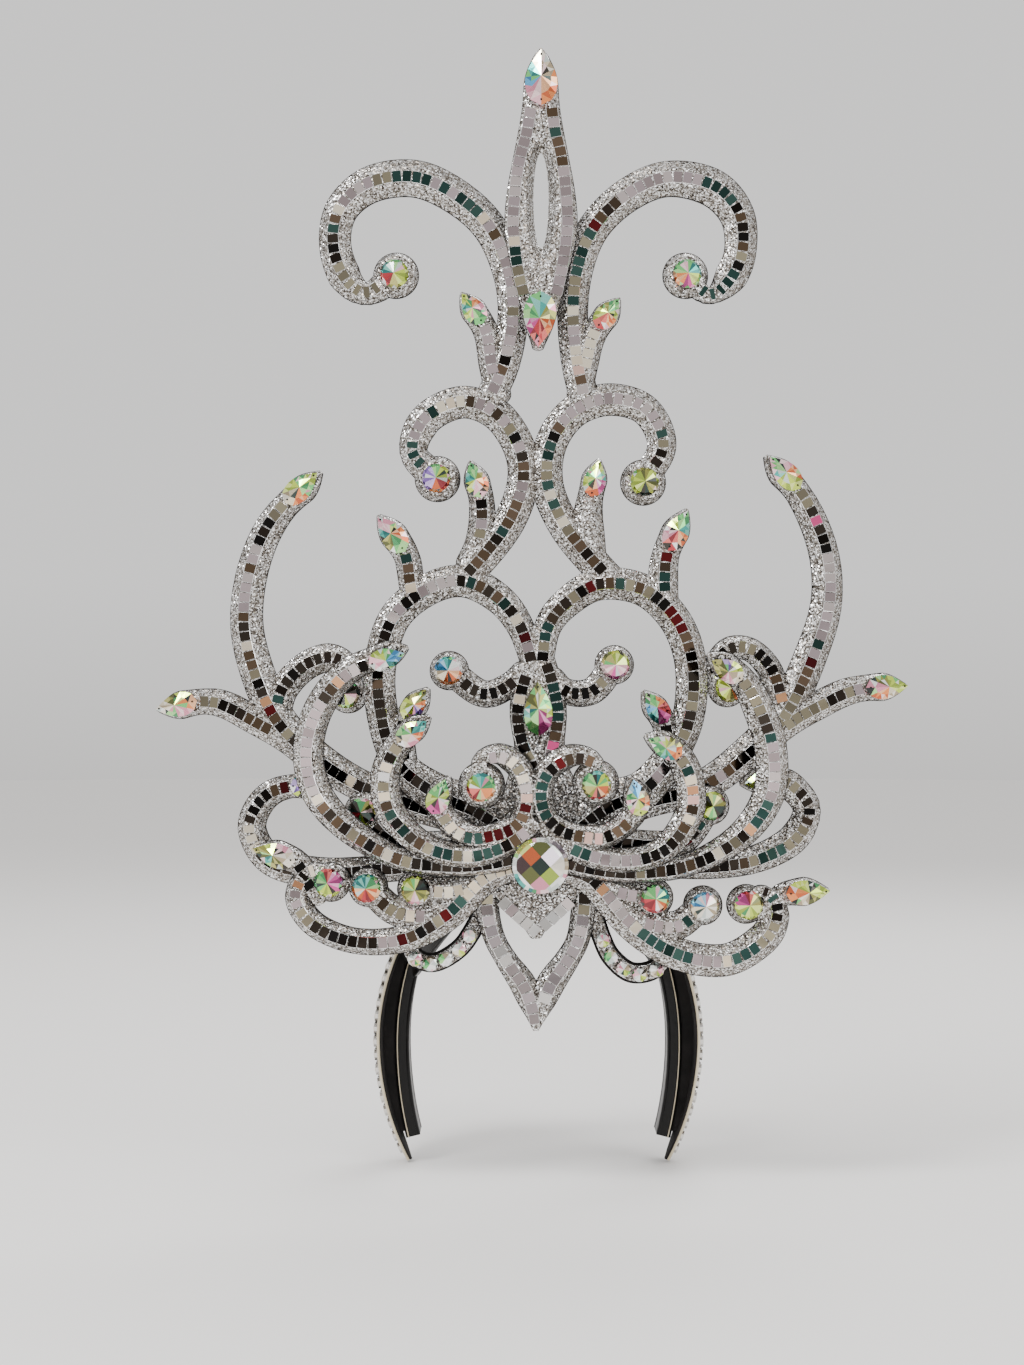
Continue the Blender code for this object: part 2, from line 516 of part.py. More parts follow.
def band(scroll):
    """The bevelled band along a scroll's spine: flat back, thin edge, slopes and flat top."""
    spine = Spine(scroll)
    sections = []
    for run in spine.stops():
        point, ahead, _ = spine.at(run)
        half, flat = spine.section(run)
        side = Vector((-ahead.y, ahead.x))
        profile = ((-half, 0.0), (half, 0.0), (half, BAND_EDGE), (flat, BAND_HEIGHT),
                   (-flat, BAND_HEIGHT), (-half, BAND_EDGE))
        sections.append([(*(point + side * out), height) for out, height in profile])
    return loft(scroll.name, sections, "glitter_foam")


def disc(name, point, radius):
    """The round bevelled head of a scroll that a round stone sits on."""
    bm = bmesh.new()
    made = bmesh.ops.create_cone(bm, cap_ends=True, segments=DISC_SIDES, radius1=radius,
                                 radius2=radius - DISC_SLOPE * DISC_RIM, depth=BAND_HEIGHT - BAND_EDGE)
    bmesh.ops.translate(bm, verts=made["verts"], vec=(*point, 0.5 * (BAND_HEIGHT + BAND_EDGE)))
    lower = [face for face in bm.faces if face.normal.z < -0.9]
    deeper = bmesh.ops.extrude_face_region(bm, geom=lower)["geom"]
    bmesh.ops.delete(bm, geom=lower, context="FACES")
    sunk = [item for item in deeper if isinstance(item, bmesh.types.BMVert)]
    bmesh.ops.translate(bm, verts=sunk, vec=(0.0, 0.0, -BAND_EDGE))
    return new_object(name, bm, "glitter_foam")


def round_cut(radius, height, sides, table=ROUND_TABLE):
    """A round stone: flat back, girdle, one facet a side up to the table."""
    bm = bmesh.new()
    made = bmesh.ops.create_cone(bm, cap_ends=True, segments=sides, radius1=radius,
                                 radius2=table * radius, depth=height - GIRDLE)
    bmesh.ops.translate(bm, verts=made["verts"], vec=(0.0, 0.0, 0.5 * (height + GIRDLE)))
    back = [face for face in bm.faces if face.normal.z < -0.9]
    grown = bmesh.ops.extrude_face_region(bm, geom=back)["geom"]
    bmesh.ops.delete(bm, geom=back, context="FACES")
    sunk = [item for item in grown if isinstance(item, bmesh.types.BMVert)]
    bmesh.ops.translate(bm, verts=sunk, vec=(0.0, 0.0, -GIRDLE))
    return bm


def drop_cut(size, height):
    """A drop stone with its point at +Y: flat back, girdle, a facet a side and a table."""
    length, width = size
    bm = bmesh.new()
    bmesh.ops.create_circle(bm, cap_ends=True, segments=STONE_SIDES, radius=0.5)
    for vert in bm.verts:
        share = 0.5 - vert.co.y
        vert.co.x = math.copysign(drop_half(share, width), vert.co.x) if abs(vert.co.x) > 1e-6 else 0
        vert.co.y *= length
    for lift, shrink in ((GIRDLE, 1.0), (height - GIRDLE, DROP_TABLE)):
        top = max(bm.faces, key=lambda face: (face.calc_center_median().z, face.calc_area()))
        grown = bmesh.ops.extrude_face_region(bm, geom=[top])["geom"]
        if lift != GIRDLE:
            bmesh.ops.delete(bm, geom=[top], context="FACES")
        raised = [item for item in grown if isinstance(item, bmesh.types.BMVert)]
        bmesh.ops.scale(bm, vec=(shrink, shrink, 1.0), verts=raised)
        bmesh.ops.translate(bm, verts=raised, vec=(0.0, 0.0, lift))
    return bm


def centre_cut():
    """The large centre gem: girdle, two rows of facets and a table."""
    bm = round_cut(GEM_RADIUS, GEM_LOWER_SHARE * GEM_HEIGHT, GEM_SIDES, table=GEM_LOWER_TABLE)
    top = max(bm.faces, key=lambda face: face.calc_center_median().z)
    grown = bmesh.ops.extrude_face_region(bm, geom=[top])["geom"]
    bmesh.ops.delete(bm, geom=[top], context="FACES")
    raised = [item for item in grown if isinstance(item, bmesh.types.BMVert)]
    bmesh.ops.scale(bm, vec=(GEM_UPPER_TABLE, GEM_UPPER_TABLE, 1.0), verts=raised)
    bmesh.ops.translate(bm, verts=raised, vec=(0.0, 0.0, (1 - GEM_LOWER_SHARE) * GEM_HEIGHT))
    return bm


def upright(point, toward, sheet, lift):
    """The place of a stone on a panel: its back on the bowed face, its point along toward."""
    x, z = point
    across, up = bow_slopes(x, z, sheet.forward)
    face = layer_back(sheet.layer) - BAND_HEIGHT + bow(x, z, sheet.forward)
    outward = Vector((across, -1.0, up)).normalized()
    along = Vector((toward.x, across * toward.x + up * toward.y, toward.y)).normalized()
    aside = along.cross(outward)
    turn = Matrix((aside, along, outward)).transposed().to_4x4()
    return Matrix.Translation(Vector((x, face, z)) + lift * outward) @ turn


def set_stone(name, bm, point, toward, sheet):
    """Place a stone a gap clear of the face that it is glued to."""
    stone = new_object(name, bm, "cut_glass")
    stone.matrix_world = upright(point, toward, sheet, GAP)
    return stone


def flat_stone(name, bm, point, toward):
    """A stone laid in the flat drawing of a panel, sunk a little so that it fuses to the band."""
    turn = Matrix(((toward.y, toward.x), (-toward.x, toward.y)))
    for vert in bm.verts:
        flat = turn @ vert.co.xy + Vector(point)
        vert.co = (flat.x, flat.y, vert.co.z + BAND_HEIGHT - GAP)
    return new_object(name, bm, "cut_glass")


def stand_up(thing, sheet):
    """Turn a panel from its flat drawing into its layer and bow it round the brow."""
    back = layer_back(sheet.layer)
    bm = bmesh.new()
    bm.from_mesh(thing.data)
    bmesh.ops.dissolve_degenerate(bm, dist=0.00002, edges=bm.edges)
    bmesh.ops.triangulate(bm, faces=bm.faces)
    for vert in bm.verts:
        x, z, height = vert.co
        vert.co = (x, bow(x, z, sheet.forward) - height, z)
    bmesh.ops.recalc_face_normals(bm, faces=bm.faces)
    bm.to_mesh(thing.data)
    bm.free()
    thing.location = (0.0, back, 0.0)


def thicken(piece, extra):
    """Make a flat piece a hair thicker, so that no two faces of a panel share a plane."""
    for vert in piece.data.vertices:
        vert.co.z += extra if vert.co.z > 0.5 * BAND_HEIGHT else -extra


def trim_to_side(piece, sign):
    """Cut a flat piece off half a gap short of the centre line, where its twin begins."""
    bm = bmesh.new()
    bm.from_mesh(piece.data)
    everything = [*bm.verts, *bm.edges, *bm.faces]
    cut = bmesh.ops.bisect_plane(bm, geom=everything, plane_co=(0.5 * sign * GAP, 0.0, 0.0),
                                 plane_no=(-sign, 0.0, 0.0), clear_outer=True)["geom_cut"]
    rim = [item for item in cut if isinstance(item, bmesh.types.BMEdge)]
    if rim:
        bmesh.ops.holes_fill(bm, edges=rim, sides=0)
    bmesh.ops.recalc_face_normals(bm, faces=bm.faces)
    bm.to_mesh(piece.data)
    bm.free()


def fuse_panel(name, extras=()):
    """Join a panel's scrolls, their end discs and any extras into one solid."""
    scrolls = [scroll for scroll in SCROLLS if scroll.panel == name]
    pieces = []
    for scroll in scrolls:
        pieces.append(band(scroll))
        if name.endswith(("_left", "_right")):
            trim_to_side(pieces[-1], 1 if name.endswith("_right") else -1)
        if isinstance(scroll.end, float):
            pieces.append(disc(scroll.name + "_disc", Spine(scroll).points[-1].xy,
                               ROUND_RADIUS + scroll.end))
    pieces.extend(extras)
    panel = pieces[0]
    for order, piece in enumerate(pieces[1:], start=1):
        thicken(piece, order * LAY)
        boolean(panel, piece, "UNION")
    panel.name = name
    return panel, SHEETS[scrolls[0].sheet]


def end_stones():
    """A round stone on every disc and a drop on every pointed end."""
    for scroll in SCROLLS:
        if scroll.end is None or scroll.name.startswith("loop"):
            continue
        spine = Spine(scroll)
        point, ahead, _ = spine.at(spine.length)
        if isinstance(scroll.end, float):
            set_stone("stone_" + scroll.name, round_cut(ROUND_RADIUS, ROUND_HEIGHT, STONE_SIDES),
                      point, ahead, spine.sheet)
            continue
        length = scroll.end[0]
        middle, ahead, _ = spine.at(spine.length - DROP_RIM - 0.5 * length)
        set_stone("drop_" + scroll.name, drop_cut(scroll.end, DROP_HEIGHT),
                  middle, ahead, spine.sheet)


def inlaid_stones():
    """The drops that lie along the fleur and the lens, and the gem at the hub."""
    by_name = {scroll.name: scroll for scroll in SCROLLS}
    for inlay in INLAYS:
        spine = Spine(by_name[inlay.scroll])
        middle, ahead, _ = spine.at(inlay.share * spine.length)
        set_stone(inlay.node, drop_cut(inlay.size, DROP_HEIGHT), middle, inlay.turn * ahead,
                  spine.sheet)
    set_stone("centre_gem", centre_cut(), (0.0, 0.0), Vector((0.0, 1.0)), SHEETS["petal"])


def fleur():
    """The tall leaf at the top with its long open eye."""
    panel, sheet = fuse_panel("fleur")
    bm = bmesh.new()
    bmesh.ops.create_cone(bm, cap_ends=True, segments=DISC_SIDES, radius1=0.5, radius2=0.5,
                          depth=3 * BAND_HEIGHT)
    bmesh.ops.scale(bm, vec=(FLEUR_EYE_WIDTH, FLEUR_EYE_HEIGHT, 1.0), verts=bm.verts)
    cutter = new_object("fleur_eye", bm, "black_foam", CUTTERS)
    across, up = FLEUR_EYE_PLACE
    cutter.location = (across * FLEUR_HALF, sheet.base + up * FLEUR_RISE, 0.0)
    cutter.hide_render = True
    cutter.display_type = "WIRE"
    bpy.context.view_layer.update()
    boolean(panel, cutter, "DIFFERENCE")
    stand_up(panel, sheet)


def side_loop(side):
    """A side loop with the drop at its end fused to it."""
    scroll = next(row for row in SCROLLS if row.name == "loop_" + side)
    spine = Spine(scroll)
    middle, ahead, _ = spine.at(spine.length - DROP_RIM - 0.5 * scroll.end[0])
    drop = flat_stone("loop_drop", drop_cut(scroll.end, DROP_HEIGHT), middle, ahead)
    stand_up(*fuse_panel("side_loop_" + side, [drop]))


def brow_loop(side):
    """A small loop over the brow with its row of beads fused to it."""
    scroll = next(row for row in SCROLLS if row.panel == "brow_loop_" + side)
    spine = Spine(scroll)
    beads = []
    for share in BEAD_SHARES:
        point, ahead, _ = spine.at(share * spine.length)
        bead = round_cut(BEAD_RADIUS, BEAD_HEIGHT, BEAD_SIDES, table=BEAD_TABLE)
        beads.append(flat_stone("bead", bead, point, ahead))
    stand_up(*fuse_panel("brow_loop_" + side, beads))


def heart():
    """The petals, cups and curls in front, with the round seat of the centre gem."""
    seat = disc("hub", (0.0, 0.0), HUB_RADIUS)
    stand_up(*fuse_panel("heart", [seat]))


def arch_point(angle):
    """The arch's middle line in X and Z: an ellipse over the head, a longer one for the legs."""
    depth = ARCH_CROWN + 0.5 * ARCH_THICKNESS if abs(angle) <= 0.5 * math.pi else ARCH_LEG_CURVE
    return Vector((ARCH_HALF * math.sin(angle), depth * math.cos(angle) - ARCH_CROWN))


def arch_end_angle():
    """The angle at which a leg of the arch ends."""
    return 0.5 * math.pi + math.asin(ARCH_LEG / ARCH_LEG_CURVE)


def arch_side(angle):
    """The direction that points away from the head at an angle of the arch."""
    step = math.radians(0.5)
    along = (arch_point(angle + step) - arch_point(angle - step)).normalized()
    return Vector((-along.y, along.x))


def arch_spot(angle, lift):
    """A point off the arch's middle line, lifted away from the head."""
    return arch_point(angle) + lift * arch_side(angle)


def head_arch():
    """The black band over the head, from one leg's end to the other's."""
    sections = []
    for k in range(ARCH_ROWS + 1):
        angle = arch_end_angle() * (2 * k / ARCH_ROWS - 1)
        inner = arch_spot(angle, -0.5 * ARCH_THICKNESS)
        outer = arch_spot(angle, 0.5 * ARCH_THICKNESS)
        sections.append([(spot.x, y, spot.y) for spot, y in (
            (inner, -0.5 * ARCH_WIDTH), (outer, -0.5 * ARCH_WIDTH),
            (outer, 0.5 * ARCH_WIDTH), (inner, 0.5 * ARCH_WIDTH))])
    loft("head_arch", sections, "black_foam")


def brow_band():
    """The black band round the brow: half an ellipse in plan that sags to the arch's legs."""
    rise = ARCH_CROWN + 0.5 * ARCH_THICKNESS
    end_angle = math.acos((ARCH_CROWN - BROW_BAND_SAG) / rise)
    end_x = arch_point(end_angle).x + 0.5 * BROW_BAND_THICKNESS
    end_y = 0.5 * ARCH_WIDTH + GAP
    sections = []
    for k in range(BROW_ROWS + 1):
        angle = math.pi * (k / BROW_ROWS - 0.5)
        middle = -BROW_BAND_SAG * math.sin(angle) ** 2
        corners = []
        for inset, up in ((0, -0.5), (1, -0.5), (1, 0.5), (0, 0.5)):
            wall = inset * BROW_BAND_THICKNESS
            corners.append(((end_x - wall) * math.sin(angle),
                            -end_y - (BROW_FRONT - end_y - wall) * math.cos(angle),
                            middle + up * BROW_BAND_HEIGHT))
        sections.append(corners)
    loft("brow_band", sections, "black_foam")


def side_lappet(side, sign):
    """A pointed flap outside the arch that flares off it and narrows to its tip."""
    tip_angle = 0.5 * math.pi + math.asin(LAPPET_DROP / ARCH_LEG_CURVE)
    sections = []
    for k in range(LAPPET_ROWS + 1):
        share = k / LAPPET_ROWS
        angle = LAPPET_TOP_ANGLE + share * (tip_angle - LAPPET_TOP_ANGLE)
        flare = LAPPET_FLARE * math.sin(math.pi * share ** LAPPET_FLARE_PLACE)
        near = 0.5 * ARCH_THICKNESS + LAPPET_CLEARANCE + flare
        inner = arch_spot(angle, near)
        outer = arch_spot(angle, near + LAPPET_THICKNESS)
        swell = math.sin(math.pi * (LAPPET_TOP_SHARE + (1 - LAPPET_TOP_SHARE) * share))
        full = max(swell, 0.0) ** LAPPET_FULLNESS
        width = LAPPET_WIDTH * (LAPPET_TIP_SHARE + (1 - LAPPET_TIP_SHARE) * full)
        front = -0.5 * ARCH_WIDTH - LAPPET_LEAD * math.sin(math.pi * share)
        sections.append([(sign * spot.x, y, spot.y) for spot, y in (
            (inner, front), (outer, front), (outer, front + width), (inner, front + width))])
    loft("side_lappet_" + side, sections, "mirror_scale")


def main():
    """Build every node of the headdress."""
    head_arch()
    brow_band()
    for side, sign in (("left", -1), ("right", 1)):
        side_lappet(side, sign)
        brow_loop(side)
        side_loop(side)
        for panel in ("wing_", "spray_", "crescent_"):
            stand_up(*fuse_panel(panel + side))
    stand_up(*fuse_panel("tower"))
    stand_up(*fuse_panel("pendant"))
    fleur()
    heart()
    end_stones()
    inlaid_stones()


main()
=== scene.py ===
# %% [markdown]
# # A carnival headdress, cell by cell
# The headdress is a tall lace of scrolls cut from foam sheet. Each scroll is carved to a roof
# shape, covered in silver glitter, and lined along its ridge with small mirror tiles. The ends
# carry cut glass stones. The solid model is loaded first, as a fixed frame. Every new piece is
# then made in the same metres and the same place as the solid that it stands for.

# %% Load the solid model and measure it
import bisect
import math
import random
from collections import namedtuple

import bmesh
import bpy
from mathutils import Matrix, Vector


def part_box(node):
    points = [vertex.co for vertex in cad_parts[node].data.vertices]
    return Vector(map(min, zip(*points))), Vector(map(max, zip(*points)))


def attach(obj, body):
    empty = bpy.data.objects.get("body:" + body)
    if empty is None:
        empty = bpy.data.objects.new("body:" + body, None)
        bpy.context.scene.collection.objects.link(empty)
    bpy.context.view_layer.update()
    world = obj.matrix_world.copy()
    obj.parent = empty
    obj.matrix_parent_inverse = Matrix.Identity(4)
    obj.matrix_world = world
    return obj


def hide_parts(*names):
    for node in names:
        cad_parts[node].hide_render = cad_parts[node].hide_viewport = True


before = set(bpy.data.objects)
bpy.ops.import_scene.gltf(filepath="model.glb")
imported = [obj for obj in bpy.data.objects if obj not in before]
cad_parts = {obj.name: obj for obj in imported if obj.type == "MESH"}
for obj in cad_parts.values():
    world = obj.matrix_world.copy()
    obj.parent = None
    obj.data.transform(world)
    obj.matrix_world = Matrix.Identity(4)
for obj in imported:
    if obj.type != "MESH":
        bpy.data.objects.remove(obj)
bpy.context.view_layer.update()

# %% [markdown]
# ## The camera
# A photograph fixes where the camera stood. This one looks straight at the front, level, from
# about a metre and a half. A long lens from there keeps the near scrolls and the far ones in the
# proportion that the eye expects. The lens is worked out from the width of the view at the panel.

# %% Set up the camera
SENSOR = 36.0
VIEW_HEIGHT = 0.7508
VIEW_DISTANCE = 1.4
CAMERA_PLACE = (-0.0154, -1.505, 0.099)

eye = bpy.data.cameras.new("front_view")
eye.sensor_fit = "VERTICAL"
eye.sensor_height = SENSOR
eye.lens = SENSOR * VIEW_DISTANCE / VIEW_HEIGHT
camera = bpy.data.objects.new("front_view", eye)
camera.location = CAMERA_PLACE
camera.rotation_euler = (math.radians(90), 0, 0)
bpy.context.scene.collection.objects.link(camera)
bpy.context.scene.camera = camera
print("lens %.1f mm" % eye.lens)

# %% [markdown]
# ## Small helpers for the finishes
# Colours are chosen as the hex values that a screen shows, and a shader wants them linear, so one
# function turns one into the other. A material is a tree of nodes, so one function adds a node,
# gives it its settings and links its inputs. Patterns are laid out in metres of the piece itself.
# With these, a finish reads like a recipe.

# %% Colour and node helpers
def linear(code):
    """A hex colour as a screen shows it, turned to the linear values that a shader wants."""
    shares = (int(code[k:k + 2], 16) / 255 for k in (1, 3, 5))
    return (*(s / 12.92 if s <= 0.04045 else ((s + 0.055) / 1.055) ** 2.4 for s in shares), 1.0)


def node(tree, kind, inputs=None, **settings):
    """Add a node. An input is given as a value, or as another node's output to link to."""
    made = tree.nodes.new(kind)
    for key, value in settings.items():
        setattr(made, key, value)
    for key, value in (inputs or {}).items():
        if isinstance(value, bpy.types.NodeSocket):
            tree.links.new(value, made.inputs[key])
        else:
            made.inputs[key].default_value = value
    return made


def new_material(name, **sockets):
    """A material with a Principled shader whose sockets are set, and its tree to add to."""
    material = bpy.data.materials.new(name)
    material.use_nodes = True
    shader = material.node_tree.nodes["Principled BSDF"]
    for key, value in sockets.items():
        shader.inputs[key.replace("_", " ")].default_value = value
    return material, material.node_tree, shader


def blend(tree, amount, stops):
    """A colour ramp along an amount, with its stops as places and hex colours."""
    ramp = node(tree, "ShaderNodeValToRGB", {"Fac": amount})
    marks = ramp.color_ramp.elements
    for count, (position, code) in enumerate(stops.items()):
        mark = marks[count] if count < 2 else marks.new(position)
        mark.position, mark.color = position, linear(code)
    return ramp.outputs["Color"]


def own_place(tree):
    """Where a point lies on its piece, in metres."""
    return node(tree, "ShaderNodeTexCoord").outputs["Object"]


print("silver grey in linear light:", [round(v, 3) for v in linear("#b4b0ac")])

# %% [markdown]
# ## Silver glitter on foam
# Real glitter is a coat of tiny flakes of metallised film, stuck flat but never quite level, so
# each one catches the light from a slightly different side. A texture of small cells gives them:
# each cell gets its own lean and its own grey, and the grey is painted light. Real flakes are 0.2
# to 0.4 mm across, too fine for this view, so they are drawn at 0.7 mm. A third of the flakes are
# painted dark, as painted shade where the film faces away, and one in eight is painted nearly
# white, as a painted glint.

# %% Glitter
FLAKE = 0.0007
CLUMP = 0.009
FLAKE_LEAN = 0.85
MIX_SHARE, MIX_FIRST, MIX_SECOND, MIX_RESULT = 0, 6, 7, 2

glitter, tree, shader = new_material("silver polyester glitter", Metallic=0.85, Roughness=0.26)
place = own_place(tree)
flakes = node(tree, "ShaderNodeTexVoronoi", {"Vector": place, "Scale": 1 / FLAKE})
parts = node(tree, "ShaderNodeSeparateColor", {"Color": flakes.outputs["Color"]})
# The dark greys are painted shade, and the near white one is a painted glint.
greys = blend(tree, parts.outputs["Red"], {0.0: "#29221d", 0.28: "#6c655d", 0.62: "#aca69f",
                                           0.88: "#ffffff"})
clumps = node(tree, "ShaderNodeTexNoise", {"Vector": place, "Scale": 1 / CLUMP, "Detail": 2.0})
patchy = node(tree, "ShaderNodeMapRange", {"Value": clumps.outputs["Fac"], "From Min": 0.35,
                                           "From Max": 0.65, "To Min": 0.86, "To Max": 1.0})
shade = node(tree, "ShaderNodeMix", {MIX_SHARE: 1.0, MIX_FIRST: greys,
                                     MIX_SECOND: patchy.outputs["Result"]},
             data_type="RGBA", blend_type="MULTIPLY")
tree.links.new(shade.outputs[MIX_RESULT], shader.inputs["Base Color"])
lean = node(tree, "ShaderNodeVectorMath", {0: flakes.outputs["Color"], 1: (0.5, 0.5, 0.5)},
            operation="SUBTRACT")
leaning = node(tree, "ShaderNodeVectorMath", {0: lean.outputs["Vector"], "Scale": FLAKE_LEAN},
               operation="SCALE")
level = node(tree, "ShaderNodeNewGeometry").outputs["Normal"]
tilted = node(tree, "ShaderNodeVectorMath", {0: leaning.outputs["Vector"], 1: level},
              operation="ADD")
unit = node(tree, "ShaderNodeVectorMath", {0: tilted.outputs["Vector"]}, operation="NORMALIZE")
tree.links.new(unit.outputs["Vector"], shader.inputs["Normal"])
print("flakes across a 5 mm tile:", round(0.005 / FLAKE))

# %% [markdown]
# ## The sheets that the scrolls are drawn on
# The maker cuts each layer from a flat sheet of foam and stacks the layers from the back to the
# front. So a scroll is drawn flat, across and up. Its stations are shares of its sheet's half
# breadth and rise, which are the sizes of the solid model. A layer is one foam thickness and a
# hair of air in front of the one behind it.

# %% The sheets and the foam's own sizes
BAND_WIDTH = 0.018
BAND_HEIGHT = 0.007
BAND_EDGE = 0.002
BAND_FLAT = 0.007
GAP = 0.0003
BROW_FRONT = 0.0842

Sheet = namedtuple("Sheet", "layer half rise base forward")
SHEETS = {
    "wing": Sheet(0, 0.214, 0.226, 0.0, False),
    "ring": Sheet(1, 0.088, 0.160, 0.0, False),
    "mid": Sheet(1, 0.070, 0.098, 0.160, False),
    "top": Sheet(1, 0.114, 0.122, 0.258, False),
    "brow": Sheet(1, 0.075, 0.062, 0.0, False),
    "fleur": Sheet(2, 0.020, 0.166, 0.282, False),
    "loop": Sheet(2, 0.165, 0.050, 0.0, False),
    "pendant": Sheet(2, 0.035, 0.092, 0.0, False),
    "spray": Sheet(3, 0.160, 0.055, 0.0, False),
    "crescent": Sheet(4, 0.125, 0.118, 0.0, True),
    "petal": Sheet(5, 0.085, 0.080, 0.0, True),
    "cup": Sheet(5, 0.060, 0.062, 0.0, True),
}
print("layers:", sorted({sheet.layer for sheet in SHEETS.values()}))

# %% [markdown]
# ## The scrolls
# Each row is one scroll: its panel, its name, its sheet, what its end carries, and its stations
# from root to end. A station is across, up, and a breadth in shares of the band's width. The end
# is the rim of a disc round a stone, or the length and width of a drop stone. A few stations are
# enough for a smooth curve, because a spline runs through them.

# %% The back panel: ring, lens, curls and leaves
ROUND_RIM, WIDE_RIM = 0.003, 0.0048
SMALL_DROP, MEDIUM_DROP = (0.0205, 0.0125), (0.025, 0.0138)
LARGE_DROP, LENS_DROP = (0.031, 0.018), (0.030, 0.0158)

Scroll = namedtuple("Scroll", "panel name sheet end stations")
TOWER = [
    Scroll("tower", "ring_left", "ring", None, (
        (-0.09, 0.04, 0.9), (-0.36, 0.16, 1.6), (-0.64, 0.23, 1.25), (-0.89, 0.34, 1),
        (-0.99, 0.50, 1), (-1.01, 0.67, 1), (-0.92, 0.84, 1), (-0.71, 0.94, 1),
        (-0.48, 0.97, 1), (-0.26, 0.91, 0.95), (-0.12, 0.81, 0.85), (-0.04, 0.67, 0.7))),
    Scroll("tower", "ring_right", "ring", None, (
        (0.10, 0.04, 0.9), (0.38, 0.17, 1.6), (0.66, 0.25, 1.2), (0.86, 0.39, 1),
        (0.95, 0.53, 1), (0.95, 0.70, 1), (0.85, 0.84, 1), (0.65, 0.94, 1), (0.38, 0.96, 1),
        (0.18, 0.90, 0.95), (0.05, 0.81, 0.85), (0.01, 0.67, 0.7))),
    Scroll("tower", "lens", "ring", None, (
        (-0.02, 0.81, 0.35), (-0.01, 0.66, 1.3), (-0.01, 0.52, 1.8),
        (0.00, 0.38, 1.5), (0.00, 0.31, 1.9), (0.01, 0.21, 2.5), (0.01, 0.06, 2.3))),
    Scroll("tower", "curl_left", "ring", ROUND_RIM, (
        (-0.07, 0.68, 0.7), (-0.19, 0.61, 0.8), (-0.36, 0.58, 0.85), (-0.57, 0.66, 0.85))),
    Scroll("tower", "curl_right", "ring", ROUND_RIM, (
        (0.05, 0.66, 0.7), (0.16, 0.59, 0.8), (0.33, 0.59, 0.85), (0.47, 0.68, 0.85))),
    Scroll("tower", "leaf_low_left", "ring", MEDIUM_DROP, (
        (-0.79, 0.89, 0.7), (-0.81, 0.96, 0.8), (-0.85, 1.07, 0.8), (-1.02, 1.20, 0.6))),
    Scroll("tower", "leaf_low_right", "ring", MEDIUM_DROP, (
        (0.80, 0.87, 0.8), (0.78, 0.95, 0.95), (0.80, 1.07, 0.85), (0.93, 1.22, 0.6))),
    Scroll("tower", "leaf_inner_left", "ring", SMALL_DROP, (
        (-0.80, 0.27, 0.7), (-0.85, 0.37, 0.7), (-0.85, 0.48, 0.75), (-0.70, 0.60, 0.6))),
    Scroll("tower", "leaf_inner_right", "ring", SMALL_DROP, (
        (0.74, 0.27, 0.7), (0.79, 0.37, 0.7), (0.78, 0.48, 0.75), (0.65, 0.59, 0.6))),
    Scroll("tower", "mid_left", "mid", WIDE_RIM, (
        (-0.67, -0.08, 0.9), (-0.46, 0.08, 1), (-0.24, 0.29, 1), (-0.13, 0.52, 1),
        (-0.17, 0.72, 1), (-0.35, 0.90, 1), (-0.62, 0.965, 1), (-0.90, 0.87, 1),
        (-1.00, 0.68, 1), (-0.81, 0.53, 0.9))),
    Scroll("tower", "mid_right", "mid", WIDE_RIM, (
        (0.62, -0.08, 0.9), (0.41, 0.07, 1), (0.19, 0.27, 1), (0.06, 0.50, 1),
        (0.09, 0.73, 1), (0.27, 0.91, 1), (0.55, 0.98, 1), (0.84, 0.92, 0.95),
        (0.97, 0.72, 0.9), (0.82, 0.51, 0.85))),
    Scroll("tower", "leaf_mid_left", "mid", SMALL_DROP, (
        (-0.60, 0.00, 0.8), (-0.48, 0.18, 0.85), (-0.46, 0.40, 0.8), (-0.55, 0.63, 0.6))),
    Scroll("tower", "leaf_mid_right", "mid", SMALL_DROP, (
        (0.42, 0.02, 0.9), (0.38, 0.19, 1.1), (0.39, 0.38, 0.85), (0.47, 0.64, 0.6))),
    Scroll("tower", "leaf_high_left", "mid", SMALL_DROP, (
        (-0.31, 0.95, 0.8), (-0.38, 1.17, 0.8), (-0.43, 1.37, 0.8), (-0.62, 1.58, 0.6))),
    Scroll("tower", "leaf_high_right", "mid", SMALL_DROP, (
        (0.30, 0.95, 0.8), (0.36, 1.17, 0.8), (0.43, 1.35, 0.8), (0.63, 1.55, 0.6))),
    Scroll("tower", "top_left", "top", WIDE_RIM, (
        (-0.25, -0.03, 0.9), (-0.17, 0.15, 0.95), (-0.13, 0.36, 0.95), (-0.15, 0.56, 1),
        (-0.24, 0.76, 1.05), (-0.395, 0.90, 1.1), (-0.60, 0.99, 1.15), (-0.82, 0.97, 1.15),
        (-0.965, 0.86, 1.05), (-1.00, 0.70, 1), (-0.945, 0.54, 1.05), (-0.84, 0.47, 1.05),
        (-0.70, 0.55, 0.9))),
    Scroll("tower", "top_right", "top", WIDE_RIM, (
        (0.22, -0.03, 0.9), (0.18, 0.15, 0.95), (0.16, 0.36, 0.95), (0.18, 0.57, 1),
        (0.26, 0.76, 1), (0.42, 0.91, 1.05), (0.62, 0.99, 1.1), (0.84, 0.955, 1.2),
        (0.965, 0.83, 1.1), (0.98, 0.66, 1), (0.92, 0.53, 1.05), (0.82, 0.46, 1),
        (0.71, 0.55, 0.9)))]
print("scrolls in the tower:", len(TOWER))

# %% [markdown]
# ## The leaf and the wings
# The leaf stands at the very top, in front of the two curls. The wings are the hindmost layer.
# Each wing is a long horn, an arm that leaves it outwards, and a small arch that bends back
# inwards. They are drawn as separate scrolls that share a root, since that is how a hand draws.

